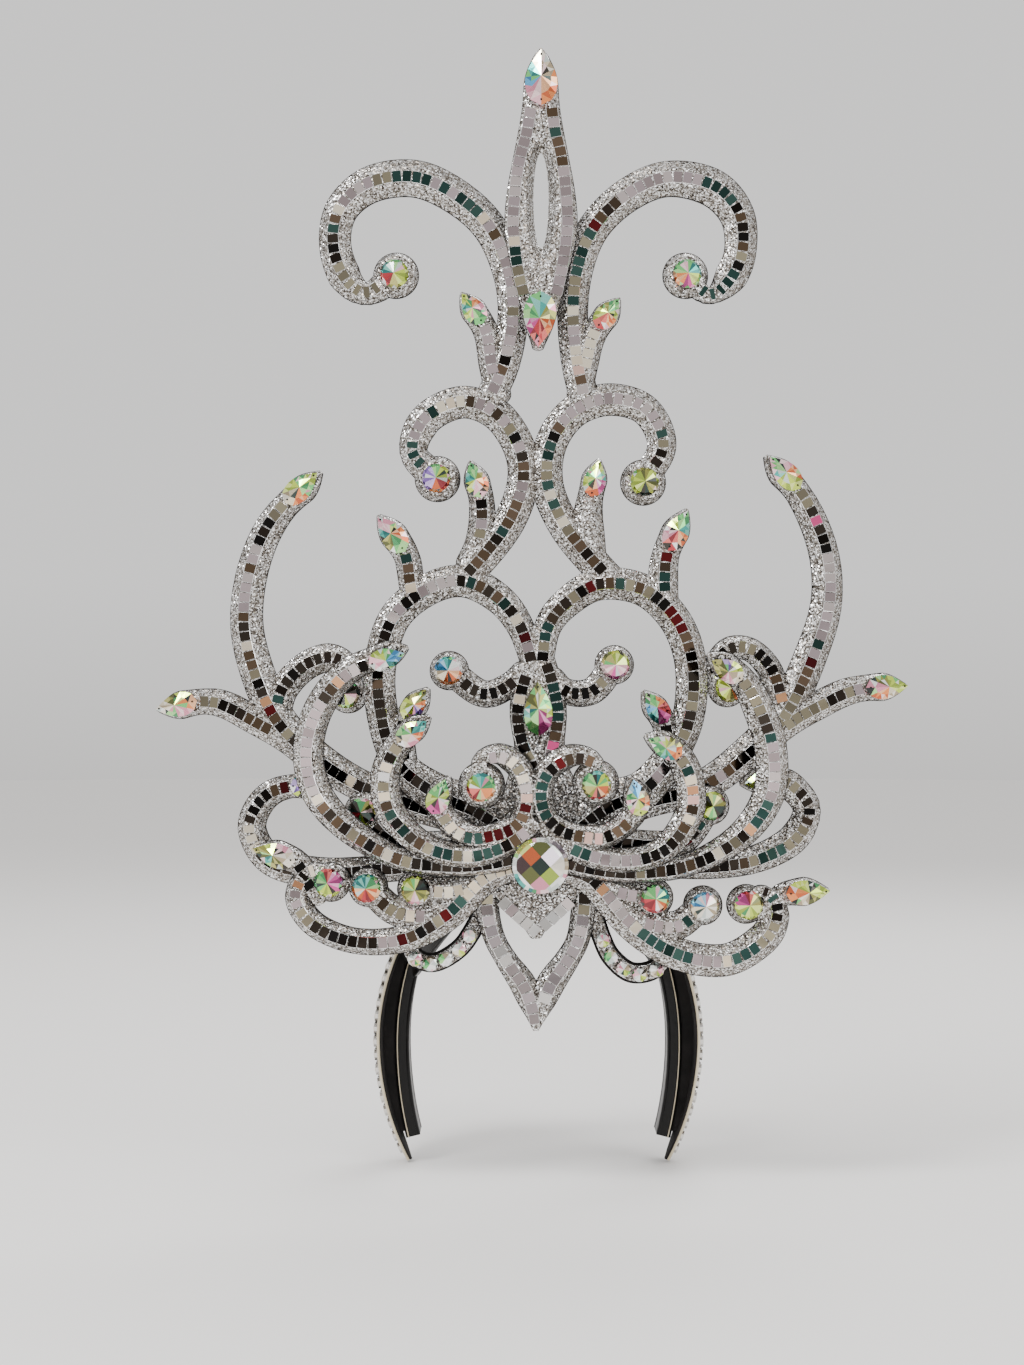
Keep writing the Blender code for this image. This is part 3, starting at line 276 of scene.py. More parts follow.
# %% The leaf at the top and the wings behind
FLEUR = [
    Scroll("fleur", "fleur", "fleur", None, (
        (0.03, 1.00, 0.2), (0.03, 0.92, 1), (0.03, 0.81, 1.15), (0.03, 0.66, 1.65),
        (0.03, 0.53, 2.1), (0.03, 0.40, 2.25), (0.00, 0.27, 1.75), (0.00, 0.15, 1.2),
        (-0.03, 0.06, 0.75), (-0.06, 0.00, 0.2)))]
WINGS = [
    Scroll("wing_left", "horn_left", "wing", MEDIUM_DROP, (
        (0.02, 0.02, 0.9), (-0.16, 0.09, 1), (-0.31, 0.13, 1), (-0.46, 0.18, 1),
        (-0.58, 0.25, 1.05), (-0.68, 0.34, 1.1), (-0.74, 0.46, 1.1), (-0.77, 0.59, 1.05),
        (-0.75, 0.73, 1), (-0.69, 0.85, 0.9), (-0.57, 0.96, 0.6))),
    Scroll("wing_left", "arm_left", "wing", MEDIUM_DROP, (
        (-0.57, 0.22, 0.8), (-0.65, 0.29, 0.9), (-0.74, 0.34, 0.9), (-0.86, 0.39, 0.85),
        (-1.01, 0.37, 0.6))),
    Scroll("wing_left", "arch_left", "wing", ROUND_RIM, (
        (-0.69, 0.34, 0.8), (-0.67, 0.42, 0.9), (-0.61, 0.48, 0.9), (-0.54, 0.50, 0.9),
        (-0.49, 0.47, 0.8), (-0.50, 0.41, 0.7))),
    Scroll("wing_right", "horn_right", "wing", MEDIUM_DROP, (
        (-0.02, 0.02, 0.9), (0.13, 0.09, 1), (0.27, 0.14, 1), (0.42, 0.18, 1),
        (0.54, 0.26, 1.05), (0.64, 0.36, 1.1), (0.715, 0.51, 1.05), (0.755, 0.64, 1),
        (0.745, 0.77, 0.95), (0.685, 0.90, 0.85), (0.59, 1.00, 0.6))),
    Scroll("wing_right", "arm_right", "wing", MEDIUM_DROP, (
        (0.55, 0.25, 0.8), (0.64, 0.33, 0.9), (0.73, 0.38, 0.9), (0.83, 0.42, 0.85),
        (0.97, 0.43, 0.6))),
    Scroll("wing_right", "arch_right", "wing", ROUND_RIM, (
        (0.645, 0.33, 0.8), (0.625, 0.41, 0.8), (0.60, 0.475, 0.8), (0.55, 0.52, 0.75),
        (0.49, 0.52, 0.75), (0.455, 0.475, 0.7), (0.49, 0.425, 0.6)))]
print("scrolls in the wings:", len(WINGS))

# %% [markdown]
# ## The low loops and the sprays
# The loops reach out low at each side and close on themselves. The sprays lie in front of them
# and hang lower. Left and right differ a little everywhere, because the real pair was cut by
# hand, so each side has its own stations rather than a mirrored copy.

# %% The low loops and the sprays
SIDE_LOOPS = [
    Scroll("side_loop_left", "loop_left", "loop", SMALL_DROP, (
        (-0.29, -0.02, 0.8), (-0.52, -0.08, 0.85), (-0.73, -0.13, 0.95), (-0.90, -0.01, 0.95),
        (-0.97, 0.34, 0.9), (-0.935, 0.66, 0.85), (-0.85, 0.82, 0.75), (-0.70, 0.82, 0.6))),
    Scroll("side_loop_left", "tuck_left", "loop", ROUND_RIM, (
        (-0.14, 0.27, 0.8), (-0.33, 0.18, 0.9), (-0.49, 0.22, 0.9), (-0.59, 0.55, 0.85))),
    Scroll("side_loop_right", "loop_right", "loop", SMALL_DROP, (
        (0.29, 0.01, 0.7), (0.50, -0.06, 0.75), (0.70, 0.00, 0.85), (0.845, 0.22, 0.95),
        (0.90, 0.55, 0.95), (0.855, 0.80, 0.9), (0.79, 0.90, 0.85), (0.67, 0.86, 0.6))),
    Scroll("side_loop_right", "tuck_right", "loop", ROUND_RIM, (
        (0.14, 0.31, 0.8), (0.30, 0.20, 0.9), (0.47, 0.22, 0.9), (0.57, 0.62, 0.85)))]
SPRAYS = [
    Scroll("spray_left", "sweep_left", "spray", ROUND_RIM, (
        (-0.07, -0.02, 0.8), (-0.19, -0.15, 1), (-0.32, -0.52, 1), (-0.46, -0.755, 0.85),
        (-0.63, -0.79, 0.8), (-0.77, -0.64, 0.8), (-0.835, -0.38, 0.8), (-0.81, -0.15, 0.7),
        (-0.76, -0.08, 0.65), (-0.72, -0.20, 0.65))),
    Scroll("spray_left", "tip_left", "spray", MEDIUM_DROP, (
        (-0.75, -0.42, 0.6), (-0.79, -0.22, 0.7), (-0.84, 0.00, 0.75), (-0.99, 0.14, 0.6))),
    Scroll("spray_left", "twig_left", "spray", ROUND_RIM, (
        (-0.27, -0.46, 0.85), (-0.38, -0.53, 0.95), (-0.50, -0.48, 0.9), (-0.59, -0.25, 0.85))),
    Scroll("spray_left", "twiglet_left", "spray", ROUND_RIM, (
        (-0.16, -0.13, 0.9), (-0.29, -0.28, 0.9), (-0.423, -0.265, 0.85))),
    Scroll("spray_right", "sweep_right", "spray", ROUND_RIM, (
        (0.06, -0.04, 0.8), (0.18, -0.17, 1), (0.32, -0.63, 1), (0.47, -0.91, 1),
        (0.64, -0.98, 1), (0.77, -0.77, 1), (0.81, -0.54, 0.95), (0.80, -0.38, 0.8),
        (0.76, -0.29, 0.6), (0.71, -0.42, 0.6))),
    Scroll("spray_right", "tip_right", "spray", MEDIUM_DROP, (
        (0.76, -0.59, 0.7), (0.80, -0.42, 0.7), (0.85, -0.32, 0.7), (1.00, -0.29, 0.6))),
    Scroll("spray_right", "twig_right", "spray", ROUND_RIM, (
        (0.26, -0.46, 0.9), (0.36, -0.60, 1), (0.47, -0.63, 0.9), (0.56, -0.43, 0.85))),
    Scroll("spray_right", "twiglet_right", "spray", ROUND_RIM, (
        (0.16, -0.12, 0.9), (0.27, -0.29, 0.9), (0.39, -0.35, 0.85)))]
print("scrolls at the sides:", len(SIDE_LOOPS) + len(SPRAYS))

# %% [markdown]
# ## The crescents and the heart
# The crescents are the widest pair of horns. The heart is the foremost layer: two petals, two
# cups within them, and two curls that roll in towards the middle. All of them start behind the
# big gem, low in the middle, so their first stations lie close together there.

# %% The crescents and the heart in front
CRESCENTS = [
    Scroll("crescent_left", "crescent_left", "crescent", SMALL_DROP, (
        (-0.04, 0.06, 0.6), (-0.18, 0.01, 0.65), (-0.38, -0.01, 0.65), (-0.61, 0.02, 0.7),
        (-0.83, 0.15, 0.85), (-0.975, 0.32, 0.95), (-1.015, 0.52, 0.93), (-0.96, 0.73, 0.9),
        (-0.82, 0.90, 0.8), (-0.57, 1.00, 0.6))),
    Scroll("crescent_right", "crescent_right", "crescent", SMALL_DROP, (
        (0.04, 0.04, 0.6), (0.17, -0.01, 0.65), (0.39, -0.04, 0.65), (0.64, -0.01, 0.7),
        (0.87, 0.12, 0.85), (1.00, 0.31, 1), (1.01, 0.53, 1), (0.95, 0.72, 0.95),
        (0.87, 0.86, 0.8), (0.72, 0.97, 0.6)))]
HEART = [
    Scroll("heart", "petal_left", "petal", SMALL_DROP, (
        (-0.02, 0.29, 0.8), (-0.21, 0.14, 0.75), (-0.45, 0.06, 0.75), (-0.74, 0.13, 0.8),
        (-0.95, 0.35, 0.9), (-0.99, 0.61, 0.9), (-0.89, 0.84, 0.8), (-0.70, 1.01, 0.6))),
    Scroll("heart", "petal_right", "petal", SMALL_DROP, (
        (0.00, 0.29, 0.8), (0.19, 0.12, 0.75), (0.48, 0.03, 0.75), (0.77, 0.09, 0.8),
        (0.95, 0.34, 0.9), (0.95, 0.59, 0.9), (0.85, 0.78, 0.8), (0.66, 0.88, 0.6))),
    Scroll("heart", "cup_left", "cup", SMALL_DROP, (
        (-0.07, 0.42, 0.7), (-0.29, 0.30, 0.75), (-0.60, 0.24, 0.75), (-0.85, 0.40, 0.75),
        (-0.92, 0.57, 0.75), (-0.82, 0.78, 0.5))),
    Scroll("heart", "cup_right", "cup", SMALL_DROP, (
        (0.02, 0.42, 0.7), (0.23, 0.28, 0.75), (0.55, 0.24, 0.75), (0.81, 0.40, 0.75),
        (0.87, 0.57, 0.75), (0.80, 0.78, 0.5))),
    Scroll("heart", "cup_curl_left", "cup", WIDE_RIM, (
        (-0.17, 0.35, 0.75), (-0.12, 0.59, 0.75), (-0.18, 0.83, 0.75), (-0.36, 0.97, 0.75),
        (-0.54, 0.92, 0.7), (-0.53, 0.70, 0.7))),
    Scroll("heart", "cup_curl_right", "cup", WIDE_RIM, (
        (0.07, 0.36, 0.75), (0.00, 0.60, 0.75), (0.07, 0.83, 0.75), (0.28, 0.96, 0.75),
        (0.48, 0.92, 0.7), (0.50, 0.72, 0.7)))]
print("scrolls in front:", len(CRESCENTS) + len(HEART))

# %% [markdown]
# ## What lies on the brow
# The pendant is a V whose point comes down between the eyes, with a filled chevron inside its
# top. A small loop hangs at each side of it. The two arms of the V meet in one point, so their
# last stations are the same.

# %% The pendant over the brow and the two small loops
PENDANT = [
    Scroll("pendant", "vee_left", "pendant", None, (
        (-0.82, -0.12, 0.72), (-0.82, -0.296, 0.72), (-0.71, -0.463, 0.66),
        (-0.495, -0.607, 0.68), (-0.27, -0.73, 0.84), (-0.135, -0.86, 0.72),
        (-0.063, -1.005, 0.1))),
    Scroll("pendant", "vee_right", "pendant", None, (
        (0.70, -0.12, 0.76), (0.68, -0.296, 0.76), (0.60, -0.463, 0.72),
        (0.435, -0.583, 0.74), (0.17, -0.73, 0.9), (0.03, -0.86, 0.74), (-0.063, -1.005, 0.1))),
    Scroll("pendant", "chevron", "pendant", None, (
        (-0.07, -0.08, 2.9), (-0.07, -0.20, 2.6), (-0.07, -0.33, 1.35), (-0.065, -0.455, 0.15)))]
BROW_LOOPS = [
    Scroll("brow_loop_left", "brow_curl_left", "brow", None, (
        (-0.40, -0.39, 0.6), (-0.49, -0.61, 0.6), (-0.60, -0.79, 0.6), (-0.78, -0.91, 0.6),
        (-0.93, -0.85, 0.6), (-0.96, -0.66, 0.6))),
    Scroll("brow_loop_right", "brow_curl_right", "brow", None, (
        (0.38, -0.39, 0.6), (0.45, -0.66, 0.6), (0.53, -0.86, 0.62), (0.68, -1.00, 0.65),
        (0.86, -0.96, 0.62), (0.95, -0.76, 0.6)))]
SCROLLS = {row.name: row for row in TOWER + FLEUR + WINGS + SIDE_LOOPS + SPRAYS + CRESCENTS + HEART
           + PENDANT + BROW_LOOPS}
print("scrolls in all:", len(SCROLLS))

# %% [markdown]
# ## The middle line of a scroll
# A drawn scroll is one sweep of the hand. A smooth spline gives that from a few stations, since
# it runs through every one of them. The line is measured along its length, so a section of
# foam, a tile or a stone can be placed so many millimetres from the root.

# %% The spline
SMOOTH_STEPS = 12
TIGHT_SHARE = 0.75
TURN_PROBE = BAND_WIDTH / 6
LEAST_TURN = 0.001


class Spine:
    """The smooth middle line of a scroll, with its breadth at each point."""

    def __init__(self, scroll):
        self.scroll = scroll
        self.sheet = SHEETS[scroll.sheet]
        knots = [Vector((across * self.sheet.half, self.sheet.base + up * self.sheet.rise,
                         breadth * BAND_WIDTH)) for across, up, breadth in scroll.stations]
        padded = [2 * knots[0] - knots[1], *knots, 2 * knots[-1] - knots[-2]]
        self.points = []
        for a, b, c, d in zip(padded, padded[1:], padded[2:], padded[3:]):
            for step in range(SMOOTH_STEPS):
                t = step / SMOOTH_STEPS
                self.points.append(b + 0.5 * t * (c - a + t * (
                    2 * a - 5 * b + 4 * c - d + t * (3 * b - a - 3 * c + d))))
        self.points.append(knots[-1])
        self.runs = [0.0]
        for here, ahead in zip(self.points, self.points[1:]):
            self.runs.append(self.runs[-1] + (ahead.xy - here.xy).length)
        self.length = self.runs[-1]

    def at(self, run):
        """The point, the direction and the breadth at a length along the line."""
        run = min(max(run, 0.0), self.length)
        k = min(max(bisect.bisect_right(self.runs, run) - 1, 0), len(self.runs) - 2)
        share = (run - self.runs[k]) / (self.runs[k + 1] - self.runs[k])
        here = self.points[k].lerp(self.points[k + 1], share)
        return here.xy, self.heading(k, share), here.z

    def heading(self, k, share):
        """The direction between two points of the line, eased towards its neighbours."""
        last = len(self.points) - 1
        before = self.points[min(k + 1, last)].xy - self.points[max(k - 1, 0)].xy
        after = self.points[min(k + 2, last)].xy - self.points[k].xy
        return before.normalized().lerp(after.normalized(), share).normalized()

    def bend_radius(self, run):
        """The smallest radius that the line turns with near a length along it."""
        spots = [run + k * TURN_PROBE for k in (-2, -1, 0, 1, 2)]
        turns = [self.at(spot - TURN_PROBE)[1].angle(self.at(spot + TURN_PROBE)[1])
                 for spot in spots]
        return 2 * TURN_PROBE / max(*turns, LEAST_TURN)


print("the longest scroll: %.0f mm" % (1000 * max(Spine(row).length for row in SCROLLS.values())))

# %% [markdown]
# ## From the flat drawing to the head
# The finished panel is bowed round the brow, and the front layers lean forward as they rise. Both
# are smooth offsets of the depth alone, so a point of the flat drawing keeps its place across and
# up. The same two sums place a stone or a tile square on the bowed face.

# %% Bow a panel and place a thing on its face
BOW_BACK = 0.020
BOW_HALF = 0.200
PETAL_REACH = 0.020
PETAL_RISE = 0.118


def layer_back(layer):
    """The plane that the backs of a layer lie in, at the centre line."""
    return -(BROW_FRONT + GAP) - layer * (BAND_HEIGHT + GAP)


def bow(x, z, forward):
    """How far a point is set back round the brow, less how far a petal brings it forward."""
    back = BOW_BACK * (x / BOW_HALF) ** 2
    return back - PETAL_REACH * (max(z, 0.0) / PETAL_RISE) ** 2 if forward else back


def bow_slopes(x, z, forward):
    """The slopes of the bow across and up."""
    across = 2 * BOW_BACK * x / BOW_HALF ** 2
    return across, -2 * PETAL_REACH * max(z, 0.0) / PETAL_RISE ** 2 if forward else 0.0


def on_face(point, toward, sheet, lift):
    """The place of a thing on a panel: its back at the lift, its own +Y along toward."""
    x, z = point
    across, up = bow_slopes(x, z, sheet.forward)
    back = layer_back(sheet.layer) + bow(x, z, sheet.forward)
    outward = Vector((across, -1.0, up)).normalized()
    along = Vector((toward.x, across * toward.x + up * toward.y, toward.y)).normalized()
    turn = Matrix((along.cross(outward), along, outward)).transposed().to_4x4()
    return Matrix.Translation(Vector((x, back, z)) + lift * outward) @ turn


print("the outer ends lie %.0f mm behind the middle" % (1000 * bow(0.2, 0, False)))

# %% [markdown]
# ## Black craft foam
# The panels are cut from 7 mm black craft foam, a closed-cell EVA sheet. It shows at the backs and
# as a thin line round every edge. Foam has no shine, only a soft grey where light grazes it, and a
# fine pitted skin from its cells, here 0.8 mm apart.

# %% Foam and its pitted skin
PIT, PIT_DEPTH = 0.0008, 0.0002
MOTTLE = 1 / 60


def rough_skin(tree, shader, height, strength, depth, sockets=("Normal",)):
    """Let a pattern raise and lower the skin that a shader sees."""
    bump = node(tree, "ShaderNodeBump", {"Height": height, "Strength": strength,
                                         "Distance": depth})
    for name in sockets:
        tree.links.new(bump.outputs["Normal"], shader.inputs[name])


black_foam, tree, shader = new_material("black EVA craft foam", Roughness=0.82,
                                        Specular_IOR_Level=0.3)
place = own_place(tree)
pits = node(tree, "ShaderNodeTexVoronoi", {"Vector": place, "Scale": 1 / PIT})
mottle = node(tree, "ShaderNodeTexNoise", {"Vector": place, "Scale": 1 / MOTTLE, "Detail": 4.0})
darkness = blend(tree, mottle.outputs["Fac"], {0.3: "#0d0c0c", 0.7: "#242120"})
tree.links.new(darkness, shader.inputs["Base Color"])
rough_skin(tree, shader, pits.outputs["Distance"], 0.25, PIT_DEPTH)
print("pits in a centimetre:", round(0.01 / PIT))

# %% [markdown]
# ## Cutting a scroll
# On the bench a scroll is cut out with a blade held at a slant, which leaves a flat back, a thin
# upright edge and two long slopes up to a narrow flat. Here one face has that outline and is
# pulled along the middle line. Each pull extrudes the face and moves its corners to the next
# section. The band narrows where it turns tightly, since foam can't overlap itself.

# %% Pull a face along
FOAM_TOP = 0.0063
EDGE_TURN = 0.0005


def pull(bm, face, corners):
    """Extrude a face and move its new corners to where the next section has them."""
    old = [vert.co.copy() for vert in face.verts]
    grown = bmesh.ops.extrude_face_region(bm, geom=[face])["geom"]
    ahead = next(item for item in grown if isinstance(item, bmesh.types.BMFace))
    fresh = list(ahead.verts)
    order = [min(range(len(old)), key=lambda k: (old[k] - vert.co).length_squared)
             for vert in fresh]
    for vert, k in zip(fresh, order):
        vert.co = corners[k]
    return ahead


def drawn_out(sections):
    """A closed body through sections of as many corners each."""
    bm = bmesh.new()
    face = bm.faces.new([bm.verts.new(corner) for corner in sections[0]])
    corners = range(len(sections[0]))
    for count, (here, coming) in enumerate(zip(sections, sections[1:])):
        keep = [min(corners, key=lambda k: (Vector(here[k]) - vert.co).length_squared)
                for vert in face.verts]
        ahead = pull(bm, face, [Vector(coming[k]) for k in keep])
        if count:
            bmesh.ops.delete(bm, geom=[face], context="FACES_ONLY")
        face = ahead
    bmesh.ops.recalc_face_normals(bm, faces=bm.faces)
    return bm


def rise(bm, top, lift, grow, turn=0.0):
    """Extrude the top face, then scale it, turn it and lift it."""
    grown = bmesh.ops.extrude_face_region(bm, geom=[top])["geom"]
    if all(len(edge.link_faces) > 2 for edge in top.edges):
        bmesh.ops.delete(bm, geom=[top], context="FACES_ONLY")
    ahead = next(item for item in grown if isinstance(item, bmesh.types.BMFace))
    bmesh.ops.scale(bm, vec=(grow, grow, 1.0), verts=ahead.verts)
    bmesh.ops.rotate(bm, cent=(0, 0, 0), matrix=Matrix.Rotation(turn, 3, "Z"),
                     verts=ahead.verts)
    bmesh.ops.translate(bm, vec=(0.0, 0.0, lift), verts=ahead.verts)
    return ahead


test = drawn_out([[(0, 0, 0), (1, 0, 0), (0, 1, 0)], [(0, 0, 1), (1, 0, 1), (0, 1, 1)]])
print("a pulled triangle has", len(test.faces), "faces")
test.free()

# %% [markdown]
# ## The section of the foam
# Along a plain stretch the band has its drawn breadth. Under a drop stone it becomes a pad with
# the outline of the stone and a narrow rim, so the end of the scroll follows the stone. The
# breadth is eased over a centimetre, as a knife would. Two scrolls have a broader flat top.

# %% Breadth and flat of a band
DROP_RIM = 0.0012
DROP_SHOULDER = 0.6
PAD_START, PAD_BLEND = 0.6, 0.5
EASE = (-0.006, -0.003, 0.0, 0.003, 0.006)
BROAD_TOPS = {"chevron": 0.0012, "lens": 0.0034}
NARROW_FLAT, BROAD_FLAT = 0.72, 0.6
PAD_FLAT, RIM_FLAT = 0.85, 0.4
ROOT_ROUND, ROOT_START, ROUNDED_UNDER = 0.005, 0.0003, 0.9


def drop_half(share, width):
    """Half the width of a drop at a share of its length from the point."""
    if share <= DROP_SHOULDER:
        return 0.5 * width * math.sin(0.5 * math.pi * max(share, 0.0) / DROP_SHOULDER)
    past = (share - DROP_SHOULDER) / (1 - DROP_SHOULDER)
    return 0.5 * width * math.sqrt(max(0.0, 1 - past ** 2))


def section(spine, run):
    """Half the breadth and half the flat top of a band at a length along its line."""
    half = sum(min(0.5 * spine.at(run + step)[2], TIGHT_SHARE * spine.bend_radius(run + step))
               for step in EASE) / len(EASE)
    flat = max(half - 0.5 * (BAND_WIDTH - BAND_FLAT), min(0.5 * BAND_FLAT, NARROW_FLAT * half))
    if run < ROOT_ROUND and half < ROUNDED_UNDER * BAND_WIDTH:
        share = (run + ROOT_START) / (ROOT_ROUND + ROOT_START)
        rounded_off = math.sqrt(1 - (1 - share) ** 2)
        half, flat = half * rounded_off, flat * rounded_off
    if spine.scroll.name in BROAD_TOPS:
        flat = max(half - BROAD_TOPS[spine.scroll.name], BROAD_FLAT * half)
    if isinstance(spine.scroll.end, tuple):
        length, width = spine.scroll.end
        share = (spine.length - run) / length
        band = min(max((share - PAD_START) / PAD_BLEND, 0.0), 1.0)
        pad = drop_half(min(share, DROP_SHOULDER), width)
        half = (1 - band) * (pad + DROP_RIM) + band * half
        flat = (1 - band) * max(PAD_FLAT * pad, RIM_FLAT * DROP_RIM) + band * flat
    return half, flat


trial = Spine(SCROLLS["top_left"])
half_way = section(trial, 0.5 * trial.length)[0]
print("breadth of the top scroll half way: %.1f mm" % (2000 * half_way))

# %% [markdown]
# ## Where the band gets its sections
# A smooth outline needs a section every few degrees of turn, and a straight run needs few. So the
# line is walked in short steps, and a section is set down where it has turned or run enough.

# %% Choose the sections
TURN_STEP = math.radians(4)
LONG_STEP = 0.006
WALK = 0.0008
DISC_OVERLAP = 0.004
ROOT_STOPS = (0.0, 0.08, 0.2, 0.4, 0.65, 1.0)
TIP_STOPS = (1.1, 0.98, 0.86, 0.75, 0.65, 0.55, 0.45, 0.36, 0.28, 0.2, 0.13, 0.07, 0.03)
WALK_END, KEEP_END = 1.2, 1.15


def stops(spine):
    """The lengths at which a band gets a section."""
    last = spine.length - (DISC_OVERLAP if isinstance(spine.scroll.end, float) else 0.0)
    tip = spine.scroll.end[0] if isinstance(spine.scroll.end, tuple) else 0.0
    chosen = [share * ROOT_ROUND for share in ROOT_STOPS]
    run, heading = ROOT_ROUND, spine.at(ROOT_ROUND)[1]
    while run < last - WALK_END * tip:
        run += WALK
        if heading.angle(spine.at(run)[1]) > TURN_STEP or run - chosen[-1] > LONG_STEP:
            chosen.append(run)
            heading = spine.at(run)[1]
    chosen = [run for run in chosen if run < last - KEEP_END * tip - 2 * WALK]
    if tip:
        chosen += [last - share * tip for share in TIP_STOPS]
    return chosen + [last]


print("sections along the top scroll:", len(stops(trial)))

# %% [markdown]
# ## A whole panel
# The scrolls of a panel are laid over one another in the flat drawing, with a disc at each end
# that carries a round stone. Each piece stands a hundredth of a millimetre off the last, so no
# two tops lie in one plane and flicker. Then the panel is bowed, its slopes are shaded smooth,
# and its long ridges are kept crisp. The glitter covers the slopes, and the back stays black.

# %% Band, disc and panel
CREASE = math.radians(24)
DISC_SIDES = 48
DISC_SLOPE, DISC_TURN = 0.0024, 0.0002
STAGGER = 0.00001
LIP, BROW_LIP = 0.0003, 0.0013
TURN_SHARE, LIP_SHARE, TURN_DROP = 0.15, 0.3, 0.45


def foam_band(scroll):
    """One carved scroll in the flat drawing: across, up, and height off its back."""
    spine = Spine(scroll)
    sections = []
    for run in stops(spine):
        point, ahead, _ = spine.at(run)
        half, flat = section(spine, run)
        side = Vector((-ahead.y, ahead.x))
        turn = min(EDGE_TURN, TURN_SHARE * half)
        lip = half - min(BROW_LIP if scroll.sheet == "brow" else LIP, LIP_SHARE * half)
        shoulder = FOAM_TOP - TURN_DROP * turn
        outline = ((-half, 0.0), (half, 0.0), (half, BAND_EDGE), (lip, BAND_EDGE),
                   (flat + turn, shoulder), (flat, FOAM_TOP), (-flat, FOAM_TOP),
                   (-flat - turn, shoulder), (-lip, BAND_EDGE), (-half, BAND_EDGE))
        sections.append([(*(point + side * out), height) for out, height in outline])
    return drawn_out(sections)


def foam_disc(point, radius):
    """The round head of a scroll, under a round stone."""
    bm = bmesh.new()
    bmesh.ops.create_circle(bm, cap_ends=True, segments=DISC_SIDES, radius=radius)
    top = bm.faces[:][0]
    for lift, drawn_in in ((BAND_EDGE, 0.0), (0.0, LIP),
                           (FOAM_TOP - BAND_EDGE - DISC_TURN, DISC_SLOPE),
                           (DISC_TURN, 3 * DISC_TURN)):
        top = rise(bm, top, lift, 1 - drawn_in / radius)
    bmesh.ops.translate(bm, vec=(*point, 0.0), verts=bm.verts)
    bmesh.ops.recalc_face_normals(bm, faces=bm.faces)
    return bm


disc = foam_disc((0.0, 0.0), 0.011)
print("a disc has", len(disc.faces), "faces")
disc.free()

# %% [markdown]
# ## Joining the scrolls
# A panel is one piece on the bench, so the scrolls are gathered in one bmesh. A round stone's
# disc goes in right after its scroll. Pieces that meet their twin at the centre line are cut off
# there with a plane, and the cut is closed again with a face.

# %% Join the scrolls of a panel
STONE_SEAT = 0.008


def add_copy(whole, piece, slot=0):
    """Add a bmesh to another one, its faces in a material slot."""
    for face in piece.faces:
        face.material_index = slot
    mesh = bpy.data.meshes.new("spare")
    piece.to_mesh(mesh)
    piece.free()
    whole.from_mesh(mesh)
    bpy.data.meshes.remove(mesh)


def trimmed(piece, sign):
    """Cut a flat piece off half a gap short of the centre line, where its twin begins."""
    cut = bmesh.ops.bisect_plane(piece, geom=[*piece.verts, *piece.edges, *piece.faces],
                                 plane_co=(0.5 * sign * GAP, 0.0, 0.0), plane_no=(-sign, 0.0, 0.0),
                                 clear_outer=True)["geom_cut"]
    rim = [item for item in cut if isinstance(item, bmesh.types.BMEdge)]
    if rim:
        bmesh.ops.holes_fill(piece, edges=rim, sides=0)
    return piece


def flat_panel(rows, sign=0):
    """All the scrolls and discs of a panel in the flat drawing."""
    whole = bmesh.new()
    for order, row in enumerate(rows):
        pieces = [foam_band(row)]
        if isinstance(row.end, float):
            pieces.append(foam_disc(Spine(row).points[-1].xy, STONE_SEAT + row.end))
        for number, piece in enumerate(pieces):
            for vert in piece.verts:
                if vert.co.z > 0.5 * FOAM_TOP:
                    vert.co.z += STAGGER * (2 * order + number)
            add_copy(whole, trimmed(piece, sign) if sign else piece)
    return whole


print("each top stands %.2f mm over the last" % (1000 * STAGGER))

# %% [markdown]
# ## Finishing a panel
# Faces that stay below the edge are marked black. Then smooth shading is set, and edges sharper
# than the crease stay crisp. An extrude gives its new faces in no fixed order, so they are put
# in order by where they lie, and every run gives the same mesh. Each piece is hung on the root
# body and given its materials, and the node of the solid that it replaces is hidden.

# %% Finish a piece and stand a panel up
BLACK_SLOT = 1
EDGE_SLACK = 0.0001
ORDER_LINE = Vector((0.377, 0.619, 0.853))


def rank(item):
    """Where a vertex, an edge or a face lies along one slanted line, to put them in order."""
    verts = getattr(item, "verts", (item,))
    return math.fsum(vert.co.dot(ORDER_LINE) for vert in verts) / len(verts)


def finish_piece(name, bm, materials, nodes=(), crease=CREASE):
    """Turn a bmesh into a piece: smooth slopes, crisp ridges, its materials and its place."""
    bmesh.ops.recalc_face_normals(bm, faces=bm.faces)
    for face in bm.faces:
        face.smooth = crease > 0
    for edge in bm.edges:
        edge.smooth = edge.is_manifold and edge.calc_face_angle(0.0) < crease
    for elements in (bm.verts, bm.edges, bm.faces):
        elements.sort(key=rank)
    mesh = bpy.data.meshes.new(name)
    bm.to_mesh(mesh)
    bm.free()
    for material in materials:
        mesh.materials.append(material)
    piece = bpy.data.objects.new(name, mesh)
    bpy.context.scene.collection.objects.link(piece)
    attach(piece, "root")
    if nodes:
        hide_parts(*nodes)
    return piece


def stand_up(whole, sheet):
    """Turn a flat panel into its layer, its edges and back marked black, and bow it."""
    back = layer_back(sheet.layer)
    for face in whole.faces:
        if max(vert.co.z for vert in face.verts) < BAND_EDGE + EDGE_SLACK:
            face.material_index = BLACK_SLOT
    for vert in whole.verts:
        x, z, height = vert.co
        vert.co = (x, back + bow(x, z, sheet.forward) - height, z)
    return whole


def foam_panel(name, node_name, rows, sign=0):
    """Build a panel of scrolls in place of its solid."""
    whole = stand_up(flat_panel(rows, sign), SHEETS[rows[0].sheet])
    return finish_piece(name, whole, (glitter, black_foam), (node_name,))


tower = foam_panel("tower_foam", "tower", TOWER)
print("faces in the tower:", len(tower.data.polygons))

# %% [markdown]
# ## The panels at both sides
# Five pairs of panels are built in one way, so one loop over their titles makes them all.

